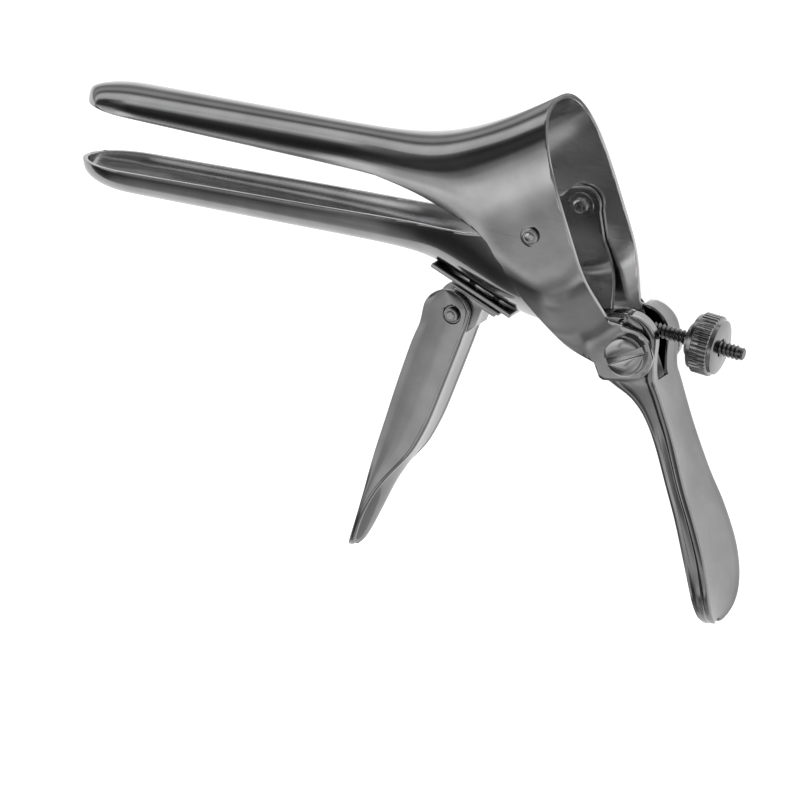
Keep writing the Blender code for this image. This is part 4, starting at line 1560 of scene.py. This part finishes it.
@dataclass
class Bracket:
    """The stacked plates under the lower valve, their rivets and the lever's pin."""

    fitter: Fitter
    edge_round: float = 0.00012
    pin: Point = (*LEVER_AXIS, MID_PLANE)
    lie: float = math.radians(-28.0)
    pin_head: float = 0.0015
    pin_shank: float = 0.0010
    pin_under: float = 0.0046
    pin_top: float = 0.0053

    def build(self) -> None:
        """Round the edges of the bracket's plates and fasteners and turn the lever's pin."""
        plate = SteelFinish("bracket_steel", 0.44, 0.26, turn=self.lie)
        pins = SteelFinish("pin_steel", 0.42, 0.22, grain=Grain.ROUND, centre=self.pin)
        for node, slot, finish in (
            ("bracket_plate", Slot.DARK, plate),
            ("spring_leaf", Slot.DARK, plate),
            ("hinge_block", Slot.DARK, plate),
            ("bracket_rivet_front", Slot.FASTENER, pins),
            ("bracket_rivet_rear", Slot.FASTENER, pins),
            ("rod_pin", Slot.FASTENER, pins),
        ):
            piece = self.fitter.copy_of(node, node + "_dressed")
            round_edges(piece, self.edge_round, 2)
            self.fitter.hand_over(piece, Body.LOWER, slot, finish, node)
        half = ringed_head(self.pin_head, self.pin_under, self.pin_top)
        half.append((self.pin_shank, self.pin_under))
        profile = half + [(radius, -height) for radius, height in reversed(half)]
        pin = lathe("lever_pin_turned", profile, 48)
        pin.location = self.pin
        settle(pin)
        self.fitter.hand_over(pin, Body.LOWER, Slot.FASTENER, pins, "lever_pin")


@dataclass
class Fasteners:
    """The pivot rivets, their rings and the handle's slotted screws."""

    fitter: Fitter
    rivet_head: float = 0.0017
    rivet_shank: float = 0.0013
    rivet_under: float = 0.0149
    rivet_top: float = 0.0158
    ring_radius: float = 0.0028
    ring_top: float = 0.0132
    ring_bottom: float = 0.0123
    ring_gap: float = 0.0002
    ring_edge: float = 0.00012
    inner_head: float = 0.0115
    screw_head: float = 0.00425
    screw_shank: float = 0.0018
    screw_under: float = 0.0085
    screw_top: float = 0.0105
    screw_end: float = 0.0056
    slot_width: float = 0.0015
    slot_depth: float = 0.0014
    slot_turn: float = math.radians(21.0)
    screw_edge: float = 0.00008

    def build(self) -> None:
        """Turn the rivets, the rings and the screws, near and far."""
        turned = SteelFinish("turned_pivot_steel", 0.44, 0.20, grain=Grain.ROUND)
        axis = (*SCREW_AXIS, 0.0)
        screws = SteelFinish("turned_screw_steel", 0.38, 0.15, grain=Grain.ROUND, centre=axis)
        for flip, side in ((0.0, "near"), (math.pi, "far")):
            rivet = self.rivet("pivot_rivet_turned_" + side)
            ring = self.ring("pivot_ring_turned_" + side)
            screw = self.slotted_screw("handle_screw_turned_" + side)
            for piece, finish, node, place in (
                (rivet, turned, "pivot_rivet_", (0.0, 0.0)),
                (ring, turned, "pivot_washer_", (0.0, 0.0)),
                (screw, screws, "handle_screw_", SCREW_AXIS),
            ):
                piece.rotation_euler.x = flip
                piece.location = (*place, MID_PLANE)
                settle(piece)
                self.fitter.hand_over(piece, Body.UPPER, Slot.FASTENER, finish, node + side)

    def rivet(self, name: str) -> bpy.types.Object:
        """Turn a peened pivot rivet with a ringed outer head.

        Args:
            name: The piece's name.

        Returns:
            The piece.
        """
        profile = ringed_head(self.rivet_head, self.rivet_under, self.rivet_top)
        profile += [
            (self.rivet_shank, self.rivet_under),
            (self.rivet_shank, self.ring_bottom),
            (self.rivet_head, self.ring_bottom),
            (self.rivet_head, self.inner_head + 0.0004),
            (self.rivet_head * 0.86, self.inner_head + 0.0001),
            (self.rivet_head * 0.62, self.inner_head),
            (self.rivet_head * 0.50, self.inner_head + 0.0003),
            (self.rivet_head * 0.34, self.inner_head),
            (0.0, self.inner_head),
        ]
        return lathe(name, profile, 48)

    def ring(self, name: str) -> bpy.types.Object:
        """Turn the ring under a rivet's inner head.

        Args:
            name: The piece's name.

        Returns:
            The piece.
        """
        bore = self.rivet_shank + self.ring_gap
        sizes = (bore, self.ring_radius, self.ring_bottom, self.ring_top, self.ring_edge)
        return lathe(name, washer_profile(*sizes), 64)

    def slotted_screw(self, name: str) -> bpy.types.Object:
        """Turn a screw with a low chamfered head and saw its slot.

        Args:
            name: The piece's name.

        Returns:
            The piece.
        """
        head = self.screw_head
        profile = [
            (0.0, self.screw_top),
            (head - 0.0007, self.screw_top),
            (head - 0.0003, self.screw_top - 0.0002),
            (head, self.screw_top - 0.0006),
            (head, self.screw_under),
            (self.screw_shank, self.screw_under),
            (self.screw_shank, self.screw_end),
            (0.0, self.screw_end),
        ]
        screw = lathe(name, profile, 96)
        size = Vector((head * 3, self.slot_width, self.slot_depth * 2))
        slot = box_piece("slot_saw", Vector((0.0, 0.0, self.screw_top)), size, self.slot_turn)
        cut_away(screw, slot)
        round_edges(screw, self.screw_edge, 2, clamp=False)
        return screw


@dataclass
class RodAndNut:
    """The swinging rod, its clevis and washer, and the knurled nut."""

    fitter: Fitter
    anchor: Point = (0.0150, -0.0196, MID_PLANE)
    lean: float = math.radians(-10.2)
    rod_radius: float = 0.0015
    rod_root: float = 0.00122
    rod_length: float = 0.0258
    neck: float = 0.0016
    plain_tip: float = 0.0006
    edge: float = 0.00015
    pitch: float = 0.0009
    eye_radius: float = 0.0021
    eye: float = 0.0020
    eye_hole: float = 0.0009
    nut_radius: float = 0.00625
    nut_low: float = 0.0149
    nut_top: float = 0.0209
    nut_face: float = 0.0048
    nut_bore: float = 0.0018
    drum_margin: float = 0.001
    knurl_edge: float = 0.00004
    knurl_angle: float = 40.0
    teeth: int = 40
    tooth_depth: float = 0.00038
    washer_radius: float = 0.0034
    washer: float = 0.0007
    washer_gap: float = 0.0001
    washer_edge: float = 0.0001

    def onto_rod(self, piece: bpy.types.Object) -> bpy.types.Object:
        """Lay a piece that was made along Z on the rod's axis.

        Args:
            piece: The piece.

        Returns:
            The same piece.
        """
        piece.rotation_euler = (0.0, math.pi / 2, self.lean)
        piece.location = self.anchor
        settle(piece)
        return piece

    def build(self) -> None:
        """Cut the thread, knurl the nut and dress the clevis and washer."""
        around = {"grain": Grain.ROUND, "centre": self.anchor, "axis_lean": self.lean}
        dark = SteelFinish("rod_steel", 0.15, 0.22, **around)
        satin = SteelFinish("clevis_steel", 0.34, 0.24)
        knurled = SteelFinish("nut_steel", 0.28, 0.16, **around)
        clevis = self.fitter.copy_of("rod_clevis", "rod_clevis_dressed")
        round_edges(clevis, self.edge, 2)
        for piece, body, slot, finish, node in (
            (clevis, Body.LOWER, Slot.DARK, satin, "rod_clevis"),
            (self.threaded_rod(), Body.ROD, Slot.DARK, dark, "threaded_rod"),
            (self.thrust_washer(), Body.WASHER, Slot.DARK, satin, "thrust_washer"),
            (self.knurled_nut(), Body.NUT, Slot.KNURLED, knurled, "knurled_nut"),
        ):
            self.fitter.hand_over(piece, body, slot, finish, node)

    def threaded_rod(self) -> bpy.types.Object:
        """Wind a true thread round a turned core and add the flat eye.

        Returns:
            The rod.
        """
        neck = self.eye_radius + self.neck
        tip = self.rod_length
        core = [
            (0.0, tip),
            (self.rod_root - 0.0002, tip),
            (self.rod_root + 0.0001, tip - 0.0003),
            (self.rod_root, tip - 0.0005),
            (self.rod_root, neck - 0.0002),
            (0.0009, neck - 0.0006),
            (0.0009, 0.0012),
            (0.0, 0.0012),
        ]
        rod = lathe("threaded_rod_cut", core, 40)
        turns = int((tip - self.plain_tip - neck) / self.pitch)
        profile = [
            (self.rod_root - 0.00005, neck),
            (self.rod_radius, neck + self.pitch * 0.42),
            (self.rod_radius, neck + self.pitch * 0.52),
            (self.rod_root - 0.00005, neck + self.pitch * 0.94),
        ]
        thread = lathe("thread", profile, 28, self.pitch, turns)
        for piece in (rod, thread):
            self.onto_rod(piece)
        half = self.eye / 2
        ring = washer_profile(self.eye_hole, self.eye_radius, -half, half, self.edge)
        eye = lathe("rod_eye", ring, 48)
        eye.location = self.anchor
        settle(eye)
        bpy.ops.object.select_all(action="DESELECT")
        for piece in (thread, eye, rod):
            piece.select_set(True)
        bpy.context.view_layer.objects.active = rod
        bpy.ops.object.join()
        return rod

    def thrust_washer(self) -> bpy.types.Object:
        """Turn the loose washer in front of the nut.

        Returns:
            The washer.
        """
        top = self.nut_low - self.washer_gap
        low = self.nut_low - 0.0003 - self.washer
        profile = washer_profile(self.nut_bore, self.washer_radius, low, top, self.washer_edge)
        return self.onto_rod(lathe("thrust_washer_turned", profile, 64))

    def knurled_nut(self) -> bpy.types.Object:
        """Press the knurl into a drum and turn its chamfers, grooves and bore.

        Returns:
            The nut.
        """
        count = self.teeth * 4
        middle = (self.nut_low + self.nut_top) / 2
        bpy.ops.mesh.primitive_cylinder_add(
            vertices=count,
            radius=self.nut_radius,
            depth=self.nut_top - self.nut_low + self.drum_margin,
            location=(0.0, 0.0, middle),
        )
        nut = named("knurled_nut_turned")
        settle(nut)
        share = 1 - self.tooth_depth / self.nut_radius
        for vertex in nut.data.vertices:
            turn = math.atan2(vertex.co.y, vertex.co.x) / (2 * math.pi) * count
            if round(turn) % 4 == 0:
                vertex.co.x *= share
                vertex.co.y *= share
        low, top, face = self.nut_low, self.nut_top, self.nut_face
        full = self.nut_radius + 0.0002
        groove = self.nut_radius - 0.0006
        profile = [
            (self.nut_bore, top - 0.0003),
            (self.nut_bore + 0.0003, top),
            (face, top),
            (face + 0.0008, top - 0.0003),
            (groove, top - 0.0011),
            (full, top - 0.0014),
            (full, low + 0.0014),
            (groove, low + 0.0011),
            (face + 0.0008, low + 0.0003),
            (face, low),
            (self.nut_bore + 0.0003, low),
            (self.nut_bore, low + 0.0003),
            (self.nut_bore, top - 0.0003),
        ]
        cut_away(nut, lathe("nut_turning", profile, 120), keep_common=True)
        round_edges(nut, self.knurl_edge, 1, self.knurl_angle, clamp=False)
        return self.onto_rod(nut)


@dataclass(frozen=True)
class Band:
    """The light round the instrument's length, for reflections that lean one way along it.

    Args:
        lean: The x of the reflected direction.
        stops: The turn from straight up, in degrees, and the brightness there.
    """

    lean: float
    stops: tuple[tuple[float, float], ...]

    def ramp(self, graph: Graph, place: bpy.types.NodeSocket) -> bpy.types.NodeSocket:
        """Make the band's ramp of greys.

        Args:
            graph: The world's nodes.
            place: The turn as a share of a full circle.

        Returns:
            The ramp's colour.
        """
        return graph.greys(place, [(turn / 360 + 0.5, level) for turn, level in self.stops])


@dataclass
class Studio:
    """The white table, the soft studio light and the camera."""

    frame_width: float = 0.1613
    lens: float = 1000.0
    target: Point = (-0.0260, -0.0352, 0.0364)
    right: Point = (0.9252, 0.0, -0.3795)
    towards: Point = (0.367, 0.252, 0.895)
    sensor: float = 36.0
    view_depth: float = 50.0
    floor_size: float = 6.0
    table_gap: float = 0.00002
    floor_slope: float = 0.0805
    # Painted bands of light and shade on the table, which only the metal's reflections see: the
    # place across the blades and the brightness there.
    floor_bands: tuple[tuple[float, float], ...] = (
        (-0.2, 0.95), (-0.05, 1.05), (0.013, 1.15), (0.0175, 0.90), (0.0210, 0.34), (0.0240, 0.30),
        (0.0285, 0.56), (0.0335, 0.48), (0.038, 0.18), (0.043, 0.18), (0.050, 0.60), (0.058, 0.95),
        (0.07, 1.0), (0.12, 0.95), (0.2, 0.85),
    )
    bands: tuple[Band, ...] = (
        Band(0.0, (
            (-92, 0.55), (-60, 0.45), (-48, 0.25), (-40, 0.18),
            (-30, 0.95), (-18, 0.60), (-8, 0.80),
            (2, 0.42), (12, 0.20), (40, 0.12), (64, 0.30), (90, 0.40), (100, 0.50),
        )),
        Band(-0.318, (
            (-104, 1.00), (-88, 0.90), (-76, 0.55), (-66, 0.36),
            (-56, 0.64), (-46, 0.56), (-36, 0.38),
            (-27, 0.32), (-17, 0.56), (-10, 1.02), (-3, 0.92), (4, 0.36), (11, 0.08), (22, 0.03),
            (57, 0.02), (71, 0.05), (79, 0.45), (87, 1.00), (95, 1.12), (102, 1.05),
        )),
        Band(-0.360, (
            (-104, 0.85), (-70, 0.45), (-58, 0.46), (-46, 0.26),
            (-34, 0.12), (-26, 0.34), (-17, 1.00),
            (-13, 0.10), (-1, 0.04), (5, 1.10), (12, 1.35), (22, 1.05), (30, 0.18), (44, 0.04),
            (60, 0.05), (80, 0.30), (100, 0.40),
        )),
        Band(-0.44, (
            (-104, 0.60), (-70, 0.30), (-50, 0.16), (-34, 0.06),
            (-24, 0.26), (-15, 1.00), (-8, 0.80),
            (0, 1.30), (16, 1.40), (26, 0.70), (36, 0.10), (60, 0.05), (84, 0.24), (102, 0.36),
        )),
        Band(-0.72, (
            (-110, 0.30), (-84, 0.14), (-60, 0.06), (-42, 0.04),
            (-26, 0.12), (-12, 0.95), (2, 1.20),
            (12, 0.80), (24, 0.74), (38, 0.36), (48, 0.06), (62, 0.09), (76, 0.05), (100, 0.28),
        )),
    )

    def table(self, low: float) -> None:
        """Lay the white table under the instrument, which glows in painted bands of light and shade
        that only the metal's reflections see.

        Args:
            low: The lowest height of the instrument.
        """
        place = (0.0, 0.0, low - self.table_gap)
        bpy.ops.mesh.primitive_plane_add(size=self.floor_size, location=place)
        floor = named("table_top")
        settle(floor)
        made = bpy.data.materials.new("white_table")
        made.use_nodes = True
        graph = Graph(made.node_tree)
        to_metal = graph.add("LightPath", "Is Glossy Ray", {})
        to_camera = to_metal.node.outputs["Is Camera Ray"]
        where = graph.add("TexCoord", "Object", {})
        parts = graph.add("SeparateXYZ", "X", {"Vector": where}).node.outputs
        inputs = {0: parts["X"], 1: self.floor_slope, 2: parts["Y"]}
        along = graph.add("Math", "Value", inputs, operation="MULTIPLY_ADD")
        start, end = self.floor_bands[0][0], self.floor_bands[-1][0]
        span = {"Value": along, "From Min": start, "From Max": end}
        share = graph.add("MapRange", "Result", span)
        stops = [((y - start) / (end - start), level) for y, level in self.floor_bands]
        banded = graph.mix(to_metal, BLACK, graph.greys(share, stops))
        graph.fill(graph.nodes["Principled BSDF"], {
            "Roughness": 0.9,
            "Specular IOR Level": 0.0,
            "Base Color": graph.mix(to_metal, TABLE_GREY, BLACK),
            "Emission Color": graph.mix(to_camera, banded, TABLE_GREY),
            "Emission Strength": 1.0,
        })
        floor.data.materials.append(made)
        floor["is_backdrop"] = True

    def world(self) -> None:
        """Light the room: white to the camera, long soft bands to the metal."""
        world = bpy.data.worlds.new("studio")
        bpy.context.scene.world = world
        world.use_nodes = True
        graph = Graph(world.node_tree)
        where = graph.add("TexCoord", "Generated", {})
        parts = graph.add("SeparateXYZ", "X", {"Vector": where}).node.outputs
        turn = graph.add("Math", "Value", {0: parts["Y"], 1: parts["Z"]}, operation="ARCTAN2")
        span = {"Value": turn, "From Min": -math.pi, "From Max": math.pi}
        place = graph.add("MapRange", "Result", span)
        room = self.bands[0].ramp(graph, place)
        for before, band in zip(self.bands, self.bands[1:]):
            leans = {"Value": parts["X"], "From Min": before.lean, "From Max": band.lean}
            share = graph.add("MapRange", "Result", leans, interpolation_type="SMOOTHSTEP")
            room = graph.mix(share, room, band.ramp(graph, place))
        to_camera = graph.add("LightPath", "Is Camera Ray", {})
        colour = graph.mix(to_camera, room, WHITE)
        graph.fill(graph.nodes["Background"], {"Color": colour, "Strength": 1.0})

    def lamps(self) -> None:
        """Hang two large soft lamps over the table, which the metal doesn't mirror."""
        centre = Vector(self.target)
        for name, offset, size, power in (
            ("key_lamp", (-0.35, 0.45, 0.9), 0.5, 3.0),
            ("fill_lamp", (0.6, -0.5, 0.8), 0.6, 2.0),
        ):
            light = bpy.data.lights.new(name, "AREA")
            light.shape = "SQUARE"
            light.size = size
            light.energy = power
            lamp = bpy.data.objects.new(name, light)
            bpy.context.scene.collection.objects.link(lamp)
            lamp.visible_glossy = False
            lamp.location = centre + Vector(offset)
            lamp.rotation_euler = (-Vector(offset)).to_track_quat("-Z", "Y").to_euler()

    def camera(self) -> None:
        """Set the camera at the photograph's angle."""
        towards = Vector(self.towards).normalized()
        right = Vector(self.right).normalized()
        up = towards.cross(right).normalized()
        right = up.cross(towards).normalized()
        data = bpy.data.cameras.new("camera")
        data.lens = self.lens
        data.sensor_width = self.sensor
        data.clip_end = self.view_depth
        camera = bpy.data.objects.new("camera", data)
        bpy.context.scene.collection.objects.link(camera)
        distance = self.frame_width * self.lens / self.sensor
        place = Vector(self.target) + towards * distance
        turn = Matrix((right, up, towards)).transposed().to_4x4()
        camera.matrix_world = Matrix.Translation(place) @ turn
        bpy.context.scene.camera = camera

    def build(self, low: float) -> None:
        """Set the whole studio.

        Args:
            low: The lowest height of the instrument.
        """
        self.table(low)
        self.world()
        self.lamps()
        self.camera()
        bpy.context.scene.view_settings.view_transform = "Standard"


def main() -> None:
    """Load the frame, build every sub-assembly and set the studio."""
    logging.basicConfig(level=logging.INFO, format="%(message)s")
    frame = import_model()
    cad_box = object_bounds()
    fitter = Fitter(frame["nodes"])
    for assembly in (
        UpperValve(fitter),
        LowerValve(fitter),
        Handles(fitter),
        Bracket(fitter),
        Fasteners(fitter),
        RodAndNut(fitter),
    ):
        LOG.info("building %s", type(assembly).__name__)
        assembly.build()
    Studio().build(cad_box[0].z)


if __name__ == "__main__":
    main()
